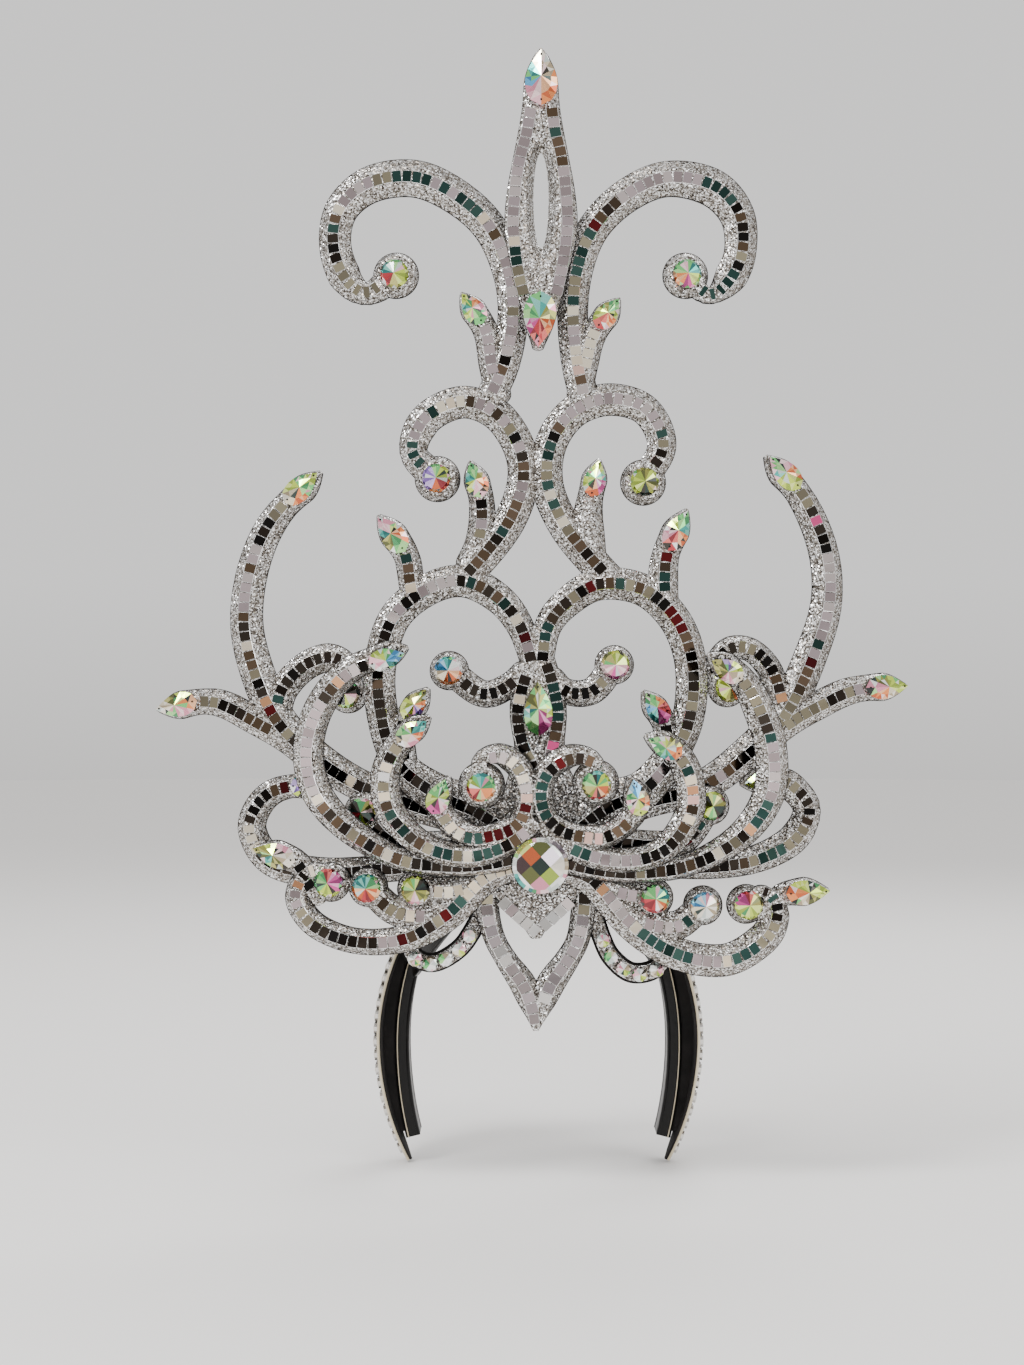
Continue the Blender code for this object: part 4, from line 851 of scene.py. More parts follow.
# %% The wings, loops, sprays and crescents
SIDES = (("left", -1), ("right", 1))
for side, sign in SIDES:
    for title, rows in (("wing", WINGS), ("side_loop", SIDE_LOOPS), ("spray", SPRAYS),
                        ("crescent", CRESCENTS), ("brow_loop", BROW_LOOPS)):
        node_name = title + "_" + side
        made = foam_panel(node_name + "_foam", node_name,
                          [row for row in rows if row.panel == node_name], sign)
        print(made.name, len(made.data.polygons))

# %% [markdown]
# ## The heart and the pendant
# The heart is the front layer: two petals, two cups, their curls, and the round seat of the big
# gem. The pendant is a V over the brow with a small chevron inside it.

# %% Heart and pendant
HUB_RADIUS = 0.0158

heart_flat = flat_panel(HEART)
add_copy(heart_flat, foam_disc((0.0, 0.0), HUB_RADIUS))
heart = finish_piece("heart_foam", stand_up(heart_flat, SHEETS["petal"]), (glitter, black_foam),
                     ("heart",))
foam_panel("pendant_foam", "pendant", PENDANT)
print("faces in the heart:", len(heart.data.polygons))

# %% [markdown]
# ## The tall leaf and its eye
# The leaf at the top is one broad scroll with a long hole, whose wall slopes like the outside. It
# is a ring in shape, so its section is pulled all the way round the hole: from the back out to the
# edge, up the slope to the flat, in to the rim of the eye and down its wall. The last section lies
# on the first, so the two end faces are taken out and the seam is merged.

# %% Leaf with a sloping eye
EYE_SIZE = (0.0125, 0.059)
EYE_MIDDLE = (0.0006, 0.365)
EYE_FLARE = (0.0042, 0.0067)
LEAF_SIDES = 96
LEAF_TIP = 6
SAME_PLACE = 0.000001

leaf_spine = Spine(SCROLLS["fleur"])


def leaf_edge(turn, breadth):
    """A place on the leaf's outline, for a turn from the top and the breadth to take there."""
    run = leaf_spine.length * (0.5 - 0.5 * math.cos(turn))
    point, ahead, _ = leaf_spine.at(run)
    half, flat = section(leaf_spine, run)
    out = {"edge": half, "lip": half - min(LIP, LIP_SHARE * half), "flat": flat}[breadth]
    out *= math.copysign(min(1.0, LEAF_TIP * abs(math.sin(turn))), math.sin(turn))
    return point + out * Vector((-ahead.y, ahead.x))


def eye_edge(turn, grow):
    """A place on the rim of the eye, grown at the front and drawn in at the back."""
    return (EYE_MIDDLE[0] + 0.5 * (EYE_SIZE[0] + grow * EYE_FLARE[0]) * math.sin(turn),
            EYE_MIDDLE[1] + 0.5 * (EYE_SIZE[1] + grow * EYE_FLARE[1]) * math.cos(turn))


turns = [2 * math.pi * (k + 0.5) / LEAF_SIDES for k in range(LEAF_SIDES)]
sections = [((*leaf_edge(turn, "edge"), 0.0), (*leaf_edge(turn, "edge"), BAND_EDGE),
             (*leaf_edge(turn, "lip"), BAND_EDGE), (*leaf_edge(turn, "flat"), FOAM_TOP),
             (*eye_edge(turn, 1), FOAM_TOP), (*eye_edge(turn, -1), 0.0)) for turn in turns]
leaf_bm = drawn_out(sections + sections[:1])
ends = [face for face in leaf_bm.faces if len(face.verts) == len(sections[0])]
bmesh.ops.delete(leaf_bm, geom=ends, context="FACES_ONLY")
bmesh.ops.remove_doubles(leaf_bm, verts=leaf_bm.verts, dist=SAME_PLACE)
leaf = finish_piece("fleur_foam", stand_up(leaf_bm, SHEETS["fleur"]), (glitter, black_foam),
                    ("fleur",))
print("faces in the leaf:", len(leaf.data.polygons))

# %% [markdown]
# ## Guides for the rows that leave the middle
# Most scrolls carry one row of tiles down their middle. The lens in the ring, the tall leaf and
# the chevron carry two, which part round what lies between them. In the heart, one row starts
# at each curl, runs down it and turns out along the cup. Each of these rows follows a line of
# its own, drawn with stations like a scroll.

# %% Guides for the lens, the eye, the cups and the chevron
def guide(panel, name, sheet, *stations):
    """A line to lay tiles along, with no foam of its own."""
    return Scroll(panel, name, sheet, None, [(across, up, 1) for across, up in stations])


GUIDES = [
    guide("tower", "beside_lens_left", "ring",
          (-0.06, 0.68), (-0.1, 0.62), (-0.13, 0.555), (-0.14, 0.5), (-0.125, 0.44), (-0.09, 0.38),
          (-0.045, 0.33), (-0.018, 0.27), (-0.012, 0.16), (-0.012, 0.04)),
    guide("tower", "beside_lens_right", "ring",
          (0.02, 0.71), (0.06, 0.65), (0.09, 0.59), (0.112, 0.53), (0.112, 0.48), (0.09, 0.42),
          (0.065, 0.36), (0.05, 0.3), (0.047, 0.16), (0.047, 0.04)),
    guide("fleur", "beside_eye_left", "fleur",
          (-0.22, 0.83), (-0.36, 0.72), (-0.52, 0.65), (-0.63, 0.58), (-0.7, 0.5), (-0.74, 0.42),
          (-0.68, 0.33), (-0.58, 0.25), (-0.44, 0.18)),
    guide("fleur", "beside_eye_right", "fleur",
          (0.28, 0.83), (0.42, 0.72), (0.57, 0.65), (0.67, 0.57), (0.72, 0.5), (0.75, 0.42),
          (0.69, 0.34), (0.58, 0.26), (0.44, 0.18)),
    guide("heart", "curl_to_cup_left", "cup",
          (-0.57, 0.9), (-0.46, 0.955), (-0.36, 0.965), (-0.25, 0.92), (-0.175, 0.82),
          (-0.13, 0.68), (-0.125, 0.56), (-0.16, 0.43), (-0.24, 0.335), (-0.38, 0.275),
          (-0.6, 0.24), (-0.76, 0.3), (-0.85, 0.4), (-0.87, 0.45)),
    guide("heart", "curl_to_cup_right", "cup",
          (0.53, 0.885), (0.43, 0.935), (0.33, 0.955), (0.2, 0.925), (0.075, 0.83), (0.015, 0.71),
          (0.005, 0.585), (0.04, 0.465), (0.1, 0.375), (0.21, 0.295), (0.36, 0.255), (0.55, 0.24),
          (0.69, 0.3), (0.8, 0.39), (0.845, 0.46)),
    guide("pendant", "beside_chevron_left", "pendant",
          (-0.72, -0.18), (-0.63, -0.218), (-0.38, -0.308), (-0.17, -0.377), (-0.03, -0.425)),
    guide("pendant", "beside_chevron_right", "pendant",
          (0.645, -0.176), (0.535, -0.212), (0.346, -0.278), (0.126, -0.356), (0.03, -0.39))]
SCROLLS.update({row.name: row for row in GUIDES})
print("lines to tile along:", len(SCROLLS))

# %% [markdown]
# ## What each mirror tile shows
# A mirror has no colour of its own. It shows what is before it, so on the real work a row of
# tiles reads as short runs of lilac grey, near black, brown, khaki and deep teal, with now and
# then a warm or bright one. A plain studio would leave them all one pale grey. So each tile
# carries the tint of what it would show. A row names its scroll, the end that its words start
# from, and its tints in order, one for a tile or for as many as the number says. The last one
# goes on to the end of the row, and bare stands for foam without a tile.

# %% Tints and rows
TINTS = {
    "mauve": ("#b9aaac", "#a89a9d", "#c3b8b6", "#958889"),
    "silver": ("#c8c5c2", "#b5b2af", "#dad9d8"),
    "dove": ("#a1979a", "#8f8688", "#b0a6a5", "#857c7c"),
    "black": ("#191614", "#25201c", "#332c27", "#1e1c1b", "#3b352f"),
    "brown": ("#574839", "#675647", "#453a30"),
    "khaki": ("#8b836e", "#787160", "#9d957e"),
    "teal": ("#2d4642", "#3a544e", "#243935"),
    "red": ("#5e1f21", "#47191b"),
    "cream": ("#f2e6cf", "#e9d8bd"),
    "pink": ("#e3bcae", "#dcaea6"),
    "orange": ("#cf9a72", "#bf8a66"),
    "hot": ("#e0578f",),
}
ROWS = [
    ("beside_lens_left", "root", "black 2, cream, black 5, khaki, black 11"),
    ("beside_lens_right", "root", "black 2, teal 4, brown 2, hot, mauve, brown, teal 9"),
    ("ring_left", "root", "black 12, red 2, black, brown, black 6, brown 3, cream, black 3,"
     "mauve 2, black 2, mauve 4, black, teal, brown, black, brown, teal, black, cream, black,"
     "red, mauve, black"),
    ("ring_right", "root", "black 11, mauve 5, khaki, black 2, khaki 2, black 2, brown, black,"
     "brown 2, red 3, black 2, khaki, brown, khaki, teal, brown, black, red, black, khaki,"
     "black, brown 2, teal 2, khaki, black"),
    ("curl_left", "root", "brown, black"), ("curl_right", "root", "red, black 4, khaki"),
    ("leaf_low_left", "tip", "teal, brown 2, cream, bare"),
    ("leaf_low_right", "tip", "red, brown, teal 3, bare"),
    ("leaf_inner_left", "root", "black"), ("leaf_inner_right", "root", "black"),
    ("mid_left", "root", "khaki, black, brown 3, black, teal, brown 3, mauve 2, brown 2, black,"
     "mauve, black, khaki, mauve, brown, mauve 2, brown, cream 3, teal, mauve 3, teal"),
    ("mid_right", "root", "brown, black, brown, black, brown 2, khaki, cream, khaki, teal,"
     "cream, teal, khaki 2, teal 2, black, brown, mauve 12, teal, khaki, black"),
    ("leaf_mid_left", "tip", "black, brown, mauve, khaki, bare"),
    ("top_left", "root", "mauve 2, brown, black, mauve 4, khaki, mauve 7, brown, mauve, cream,"
     "teal 3, mauve, teal, mauve, teal 4, khaki 2, mauve 4, cream, brown, teal, black 3, khaki"),
    ("top_right", "root", "mauve, brown, pink, cream 2, mauve 2, khaki, cream, teal, khaki 2,"
     "teal 3, khaki, teal, red, brown, black, brown, mauve 9, teal 4, black, brown, black 2,"
     "brown, khaki, black, teal"),
    ("leaf_high_left", "root", "mauve"), ("leaf_high_right", "root", "teal, black, cream"),
    ("beside_eye_left", "root", "mauve 13, cream, teal 2, khaki 2"),
    ("beside_eye_right", "root", "brown, mauve, teal, brown 3, mauve"),
    ("horn_left", "tip", "khaki 2, black 3, mauve 2, brown, mauve 4, brown, black 2, cream,"
     "brown 2, khaki, black 2, orange, red, brown, black, khaki, black 7, cream, black"),
    ("horn_right", "tip", "khaki 2, black, hot, black 3, mauve 9, teal, mauve, red, brown 3,"
     "khaki 4, black 5, brown 2, mauve, brown 3, black"),
    ("arm_left", "tip", "khaki 2, black 3, brown 3, cream"),
    ("arm_right", "tip", "mauve, khaki, black 2, khaki"),
    ("arch_left", "root", "teal 2, black"),
    ("arch_right", "root", "orange 2, black, brown, black 3, khaki 2, black"),
]
print("tints:", ", ".join(TINTS))

# %% [markdown]
# ## The rows in front
# The front layers are listed in the same way. The pendant is dove grey nearly all through,
# because it leans a little and shows the ceiling, where the higher rows show the dark room.

# %% Rows of the layers in front
ROWS += [
    ("loop_left", "tip", "red, brown, black 4, cream 3, black"),
    ("loop_right", "tip", "khaki 2, black 3, brown, khaki 3, teal 3, khaki, brown, black"),
    ("tuck_left", "tip", "black"), ("tuck_right", "tip", "teal, black, red, black"),
    ("sweep_left", "tip", "cream, black, orange, mauve 2, khaki 2, black 7, mauve 2, red, brown,"
     "black 2, khaki, red, teal 2, cream"),
    ("sweep_right", "tip", "black, teal, black 2, khaki 3, teal 3, cream, mauve 3, teal 6, cream,"
     "mauve 4, orange, black"),
    ("tip_left", "root", "khaki, black"), ("tip_right", "root", "teal, black"),
    ("twig_left", "tip", "brown, khaki 2, cream, mauve 3, khaki"),
    ("twig_right", "tip", "teal, mauve"),
    ("twiglet_left", "root", "teal, cream"), ("twiglet_right", "root", "pink, mauve"),
    ("crescent_left", "tip", "black, mauve 2, orange, brown, black, mauve 10, cream, brown, black,"
     "brown, black, khaki, brown, black, brown, cream, brown, khaki, black"),
    ("crescent_right", "tip", "khaki 4, black 2, teal, mauve 6, teal 3, orange, black, khaki,"
     "black, cream, black 2, brown, black 2, brown, black, khaki, black"),
    ("curl_to_cup_left", "root", "mauve 2, cream, khaki, cream, mauve, pink, red, brown 2, red 3,"
     "teal 2, cream 2, khaki, pink"),
    ("curl_to_cup_right", "root", "brown, black, brown, red, black, teal 5, black 3, brown,"
     "pink 2, black, brown 2, teal 2, cream"),
    ("petal_left", "tip", "khaki, black, cream, silver, khaki, cream, brown, teal, black, teal,"
     "black, brown, khaki, teal 2, khaki, cream, teal 3, black, brown, mauve, black"),
    ("petal_right", "tip", "khaki, teal, cream, orange, pink, brown, cream, brown, black 5,"
     "mauve 5, teal 2, black, teal, mauve"),
    ("vee_left", "root", "khaki, dove 4, silver 2, dove 4"),
    ("vee_right", "root", "black, khaki, dove 8, silver"),
    ("beside_chevron_left", "root", "silver, mauve, silver 2"),
    ("beside_chevron_right", "root", "mauve, silver 3"),
]


def tint_run(words):
    """Spell out a row's tints, one for each tile."""
    run = []
    for word in words.split(","):
        name, _, count = word.strip().partition(" ")
        run += [name] * int(count or 1)
    return run


print("rows of tiles:", len(ROWS), "and in the first:", len(tint_run(ROWS[0][2])), "tints")

# %% [markdown]
# ## Silvered mirror
# The tiles are cut from thin silvered mirror, with each edge ground to a fine bevel. On the real
# work they are scored, snapped and glued down one at a time. The silvering is a bright metal with
# hardly any roughness. The tint of each tile is read from its own faces, and a faint ripple keeps
# the reflections from being too perfect.

# %% Mirror
RIPPLE, RIPPLE_DEPTH = 0.012, 0.0008


def show_painted_tints(tree, shader):
    """Colour a material by the tint painted on each face, on the tiles and stones mostly a painted
    reflection.
    """
    tint = node(tree, "ShaderNodeVertexColor", layer_name="tint").outputs["Color"]
    tree.links.new(tint, shader.inputs["Base Color"])


mirror, tree, shader = new_material("silvered glass mirror", Metallic=1.0, Roughness=0.1)
show_painted_tints(tree, shader)
place = own_place(tree)
swell = node(tree, "ShaderNodeTexNoise", {"Vector": place, "Scale": 1 / RIPPLE, "Detail": 1.0})
rough_skin(tree, shader, swell.outputs["Fac"], 0.3, RIPPLE_DEPTH)
print("ripples across a tile: %.1f" % (0.005 / RIPPLE))

# %% [markdown]
# ## Laying the tiles
# A tile is a cube with its edges bevelled once. The rows are laid from one end at an even pitch.
# Where a line bends, each tile is cut a little shorter, so their inner corners don't meet. Every
# tile is pressed down by hand, so it leans and turns a degree or so off its neighbours, and that
# is what makes a row flash one tile at a time. No tile is laid on another row or on a stone.

# %% One tile
TILE = 0.0065
TILE_THICK = 0.001
TILE_BEVEL = 0.0002
PITCH = 0.0055
BROAD_TILE, BROAD_PITCH = 0.0068, 0.0060
JOINT = 0.0003
LEAN = math.radians(1.8)
EDGE_LIGHT = 0.9
FACE_SHARE = 0.3

tile_bm = bmesh.new()
bmesh.ops.create_cube(tile_bm, size=1.0)
bmesh.ops.scale(tile_bm, vec=(TILE, TILE, TILE_THICK), verts=tile_bm.verts)
bmesh.ops.bevel(tile_bm, geom=tile_bm.edges[:], offset=TILE_BEVEL, segments=1, profile=0.5,
                affect="EDGES", material=-1)
tile = bpy.data.meshes.new("tile")
tile_bm.to_mesh(tile)
tile_bm.free()
TILE_SIDES = len(tile.polygons)


def paint(face, layer, tint):
    """Give all the corners of a face one tint."""
    for loop in face.loops:
        loop[layer] = tint


def lay_tile(whole, place, size, code):
    """Add a tile at a place, stretched to a size, its face tinted and its bevels lighter."""
    colours = whole.loops.layers.float_color
    layer = colours.get("tint") or colours.new("tint")
    corners, faces = len(whole.verts), len(whole.faces)
    whole.from_mesh(tile)
    whole.verts.ensure_lookup_table()
    whole.faces.ensure_lookup_table()
    stretch = Matrix.Diagonal((size[0] / TILE, size[1] / TILE, 1.0, 1.0))
    for vert in whole.verts[corners:]:
        vert.co = place @ stretch @ vert.co
    face_tint = Vector(linear(code))
    # The bevels are tinted nearly white: the pale ground edge of the glass, with a painted glint
    # on it.
    edge_tint = face_tint.lerp(Vector((1, 1, 1, 1)), EDGE_LIGHT)
    for face in whole.faces[faces:]:
        large = face.calc_area() > FACE_SHARE * size[0] * size[1]
        paint(face, layer, face_tint if large else edge_tint)


print("faces of a tile:", TILE_SIDES)

# %% [markdown]
# ## Laying the rows
# The places that stones take up are listed first, each as a few circles, and every tile adds
# its own when it is laid. A tile that would come too near one of them is left out, as a maker
# would stop a row at a stone or where another row crosses.

# %% Lay the rows
random.seed(7)
HUB_CLEAR = 0.0162
TILE_CLEAR, TILE_SINK = 0.42, 0.0001
DROP_JOINT, DROP_CLEAR, DROP_CIRCLES = 0.0018, 0.42, (0.2, 0.5, 0.8)
ROUND_JOINT, ROUND_CLEAR, RIM_SHARE = 0.0088, 0.0082, 0.3
BARE_END = 0.0035
LENS_SHARE, LENS_CLEAR, LENS_CIRCLES = 0.375, 0.25, (-0.4, -0.2, 0.0, 0.2, 0.4)
WIDEST = 1.5


def end_point(scroll):
    """Where the tiles stop at a scroll's end, and the circle that its stone takes up."""
    spine = Spine(scroll)
    if isinstance(scroll.end, tuple):
        length, width = scroll.end
        return spine.length - length - DROP_JOINT, [
            (spine.at(spine.length - share * length)[0], DROP_CLEAR * width)
            for share in DROP_CIRCLES]
    if isinstance(scroll.end, float):
        return (spine.length - ROUND_JOINT - RIM_SHARE * scroll.end,
                [(spine.points[-1].xy, ROUND_CLEAR)])
    return spine.length - (0.0 if scroll in GUIDES else BARE_END), []


taken = {}
for row in SCROLLS.values():
    taken.setdefault(row.panel, []).extend(end_point(row)[1])
taken["heart"].append((Vector((0.0, 0.0)), HUB_CLEAR))
lens_line = Spine(SCROLLS["lens"])
taken["tower"] += [(lens_line.at(LENS_SHARE * lens_line.length + step * LENS_DROP[0])[0],
                    LENS_CLEAR * LENS_DROP[1]) for step in LENS_CIRCLES]


def lay_row(whole, name, start, words, size=TILE, pitch=PITCH):
    """Lay one row of tiles along a scroll, skipping what already lies there."""
    scroll = SCROLLS[name]
    spine, sheet = Spine(scroll), SHEETS[scroll.sheet]
    last = end_point(scroll)[0]
    count = int((last - 0.5 * pitch) / pitch)
    run_tints = tint_run(words)
    for k in range(count):
        run = last - pitch * (k + 0.5)
        point, ahead, _ = spine.at(run)
        if any((point - spot).length < radius + 0.5 * pitch
               for spot, radius in taken[scroll.panel]):
            continue
        word = run_tints[min(k if start == "tip" else count - 1 - k, len(run_tints) - 1)]
        if word == "bare":
            continue
        code = random.choice(TINTS[word])
        long = min(pitch - JOINT, pitch * (1 - 0.5 * size / max(spine.bend_radius(run), size)))
        wide = min(size, WIDEST * section(spine, run)[0])
        place = on_face(point, ahead, sheet, FOAM_TOP + 0.5 * TILE_THICK - TILE_SINK)
        tip = Matrix.Identity(4)
        for axis in "XYZ":
            tip = tip @ Matrix.Rotation(random.gauss(0, LEAN), 4, axis)
        lay_tile(whole, place @ tip, (wide, long), code)
        taken[scroll.panel].append((point.copy(), TILE_CLEAR * pitch))


wholes = {}
for name, start, words in ROWS:
    panel = SCROLLS[name].panel
    wholes.setdefault(panel, bmesh.new())
    broad = name.startswith("vee")
    lay_row(wholes[panel], name, start, words, BROAD_TILE if broad else TILE,
            BROAD_PITCH if broad else PITCH)
for panel, whole in wholes.items():
    print(panel, len(whole.faces) // TILE_SIDES, "tiles")
    finish_piece(panel + "_tiles", whole, (mirror,), crease=0.0)

# %% [markdown]
# ## Cut crystal
# The stones are sew-on cut glass with a foil back and a thin rainbow coating, so they throw back
# light in patches of green, orange, magenta and blue. The foil makes them opaque. Each facet acts
# like a small coloured mirror under a clear hard gloss, and its colour is a painted reflection of
# the room through the coating. The facets are real here, because a flat facet that flashes as one
# piece is what the eye takes for a cut stone.

# %% Crystal and its colours
crystal, tree, shader = new_material("foil-backed rainbow crystal", Metallic=0.8, Roughness=0.09,
                                     Coat_Weight=0.7, Coat_Roughness=0.03)
show_painted_tints(tree, shader)

FLASHES = {
    "green": ("#6cc46e", "#a5dd8c", "#3f8f57"),
    "teal": ("#3fa69c", "#7cc9bb", "#236f6c"),
    "lime": ("#c3d94c", "#dcea86", "#93a93a"),
    "olive": ("#8b8c3f", "#b5b067", "#565a2a"),
    "orange": ("#e98a4c", "#f3b88a", "#c25a2c"),
    "red": ("#b8343c", "#dc6a62", "#7d1f28"),
    "magenta": ("#cf4f96", "#e693c0", "#96306c"),
    "pink": ("#eeb6c2", "#f6d6d8", "#d98aa0"),
    "violet": ("#8f6cc0", "#bda7dc", "#5d4488"),
    "blue": ("#58a8d6", "#a2d2ea", "#2f74a4"),
    "lilac": ("#b9aeb8", "#cfc6cc", "#8f8492"),
    "plum": ("#6b4a55", "#4d3a3c", "#87606c"),
    "beige": ("#dccfb4", "#f0e9da", "#a8987c"),
    "clear": ("#eef2ee", "#ffffff", "#c9d4d0"),
    "dark": ("#23342f", "#2f2a22", "#131a18"),
}
ODD_FACETS = 0.16
# The first colour is painted shade on the upright sides of a stone, the second the dark of its sew
# holes.
GIRDLE_SHADE, HOLE_TINT = "#3d3a37", "#0b0a0a"
UPRIGHT = 0.2


def paint_facets(bm, words, lively=True, girdle=GIRDLE_SHADE):
    """Tint each facet by the way it lies from the middle: the words go round from the top."""
    layer = bm.loops.layers.float_color.new("tint")
    around = words.split()
    bm.normal_update()
    for face in sorted(bm.faces, key=rank):
        middle = face.calc_center_median()
        clock = math.atan2(middle.x, middle.y) / (2 * math.pi)
        word = around[round(clock * len(around)) % len(around)]
        if lively and random.random() < ODD_FACETS:
            word = random.choice(("clear", "dark", "green", "pink"))
        # Upright faces take the girdle colour, by default the painted shade that outlines a stone.
        upright = abs(face.normal.z) < UPRIGHT
        paint(face, layer, linear(girdle if upright else random.choice(FLASHES[word])))


print("flashes:", ", ".join(FLASHES))

# %% [markdown]
# ## Cutting the stones
# Each stone grows from its outline. The outline is lifted to a low girdle, drawn in to a crown,
# and the crown is poked up to a point in the middle, which gives the wedges that meet there. The
# round ones turn the crown by half a wedge, so the rim gets its small triangles. A round cut is
# its radius, its wedges, its height and the share that is left of its breadth at the crown. Two
# small dark holes in each stone are where the thread goes through to hold it.

# %% Round stones and drops
GIRDLE, GIRDLE_GROW, CROWN_RISE = 0.0014, 1.04, 0.45
Cut = namedtuple("Cut", "radius wedges height crown")
ROUND = Cut(0.008, 16, 0.0052, 0.8)
DROP_HEIGHT, DROP_CROWN = 0.0052, 0.62
DROP_STOPS = (0.0, 0.1, 0.22, 0.36, 0.5, 0.64, 0.78, 0.9)
FOOT = 0.96
SEAT = BAND_HEIGHT + GAP - FOAM_TOP
HOLE_RADIUS, HOLE_SHARE, HOLE_SIDES = 0.0006, 0.8, 8


def cut_stone(outline, height, crown, turn=0.0):
    """A pointed stone over an outline, its foot set into the foam."""
    bm = bmesh.new()
    top = bm.faces.new([bm.verts.new((x, y, 0.0)) for x, y in outline])
    top = rise(bm, top, SEAT, 1.0)
    top = rise(bm, top, GIRDLE, GIRDLE_GROW)
    top = rise(bm, top, CROWN_RISE * (height - GIRDLE), crown, turn)
    tip = bmesh.ops.poke(bm, faces=[top])["verts"][0]
    tip.co = (0.0, 0.0, SEAT + height)
    slanted = [face for face in bm.faces
               if len(face.verts) == 4 and abs(face.normal.z) > UPRIGHT]
    bmesh.ops.triangulate(bm, faces=slanted, quad_method="SHORT_EDGE")
    return bm


def round_stone(cut):
    """A round stone with its crown turned by half a wedge."""
    turns = [2 * math.pi * (k + 0.5) / cut.wedges for k in range(cut.wedges)]
    outline = [(FOOT * cut.radius * math.sin(turn), FOOT * cut.radius * math.cos(turn))
               for turn in turns]
    return cut_stone(outline, cut.height, cut.crown, math.pi / cut.wedges)


def drop_outline(length, width):
    """The corners of a drop's foot, its point along +Y."""
    right = [(FOOT * drop_half(share, width), length * (0.5 * FOOT - FOOT * share))
             for share in DROP_STOPS]
    return right + [(0.0, -0.5 * FOOT * length)] + [(-x, y) for x, y in right[:0:-1]]


def drill(bm, spots, depth):
    """The two dark holes that the thread went through."""
    layer = bm.loops.layers.float_color["tint"]
    for x, y in spots:
        made = bmesh.ops.create_circle(bm, cap_ends=True, segments=HOLE_SIDES,
                                       radius=HOLE_RADIUS)["verts"]
        foot = next(iter(made[0].link_faces))
        mouth = rise(bm, foot, depth, 1.0)
        wall = {vert for face in (foot, mouth) for vert in face.verts}
        bmesh.ops.translate(bm, vec=(x, y, 0.0), verts=list(wall))
        for side in {side for vert in wall for side in vert.link_faces}:
            paint(side, layer, linear(HOLE_TINT))


trial_stone = round_stone(ROUND)
print("facets of a round stone:", len(trial_stone.faces))
trial_stone.free()

# %% [markdown]
# ## The flashes of each stone
# Each stone gets its words clockwise from its own top, in the order in which the flashes lie on
# the real one. No two are alike, since each throws back another part of the room.

# %% Words for the round stones and the drops
ROUNDS = {
    "sweep_left": "red magenta magenta lime lime green green",
    "twig_left": "teal green orange red orange teal",
    "twiglet_left": "lime dark olive pink olive lime",
    "twiglet_right": "green teal orange red red green",
    "twig_right": "blue beige beige clear beige blue",
    "sweep_right": "red olive lime lime lime magenta",
    "top_left": "green lime lime olive red teal",
    "top_right": "green teal lime magenta orange green",
    "mid_left": "green lime red orange violet violet",
    "mid_right": "olive lime olive dark lime lime",
    "curl_left": "teal clear orange orange beige blue",
    "curl_right": "lime lime pink magenta pink olive",
    "cup_curl_left": "teal green orange orange red lime",
    "cup_curl_right": "teal lime orange red olive green",
    "arch_left": "olive dark beige lime dark olive",
    "arch_right": "olive lime orange olive lime lime",
    "tuck_left": "green olive dark lime red dark",
    "tuck_right": "lime olive dark green lime olive",
}
DROPS = {
    "crest": "beige beige orange orange pink blue teal",
    "fleur": "red magenta green teal olive orange",
    "lens": "olive green lime magenta green teal olive",
    "horn_left": "lime green orange beige lime green",
    "horn_right": "green pink orange lime lime teal",
    "arm_left": "beige olive lime orange pink green",
    "arm_right": "lime beige orange pink olive lime",
    "tip_left": "olive lime pink beige olive teal",
    "tip_right": "lime olive beige orange lime dark",
    "crescent_left": "blue teal clear pink lime green",
    "crescent_right": "olive violet lime beige pink olive",
    "petal_left": "teal orange pink beige green lime",
    "petal_right": "green lime olive orange teal green",
    "cup_left": "green lime pink magenta lime green",
    "cup_right": "blue beige orange lime pink green",
    "leaf_high_left": "lime orange pink green lime teal",
    "leaf_high_right": "green lime orange red lime olive",
    "leaf_mid_left": "green olive orange pink lime teal",
    "leaf_mid_right": "lime teal magenta orange lime green",
    "leaf_low_left": "pink lime orange green olive teal",
    "leaf_low_right": "green teal orange red pink lime",
    "leaf_inner_left": "olive orange violet lime lime olive",
    "leaf_inner_right": "green orange red magenta teal blue",
    "loop_left": "blue green lime violet teal blue",
    "loop_right": "lime green olive beige lime dark",
}
print("round stones and drops:", len(ROUNDS), "and", len(DROPS))

# %% [markdown]
# ## Setting the stones
# A round stone stands upright on its disc. A drop follows the heading of its scroll, so it points
# outwards. Three drops lie on a scroll rather than at its end: at the top and foot of the leaf
# and in the lens. The drops of the two low loops are part of their loop in the solid model, so
# they replace no node of their own.

# %% Set the stones
EMBEDDED = ("loop_left", "loop_right")
ROUND_DRILL, DROP_DRILL = 0.52, 0.5


def set_stone(name, bm, point, toward, sheet, nodes):
    """Stand a stone on the foam, its foot just in the glitter."""
    bmesh.ops.transform(bm, matrix=on_face(point, toward, sheet, FOAM_TOP), verts=bm.verts)
    return finish_piece(name, bm, (crystal,), nodes, crease=0.0)


for name, words in ROUNDS.items():
    spine = Spine(SCROLLS[name])
    bm = round_stone(ROUND)
    paint_facets(bm, words)
    drill(bm, [(sign * HOLE_SHARE * ROUND.radius, 0.0) for sign in (-1, 1)],
          SEAT + ROUND_DRILL * ROUND.height)
    set_stone("round_" + name, bm, spine.points[-1].xy, Vector((0, 1)), spine.sheet,
              ("stone_" + name,))

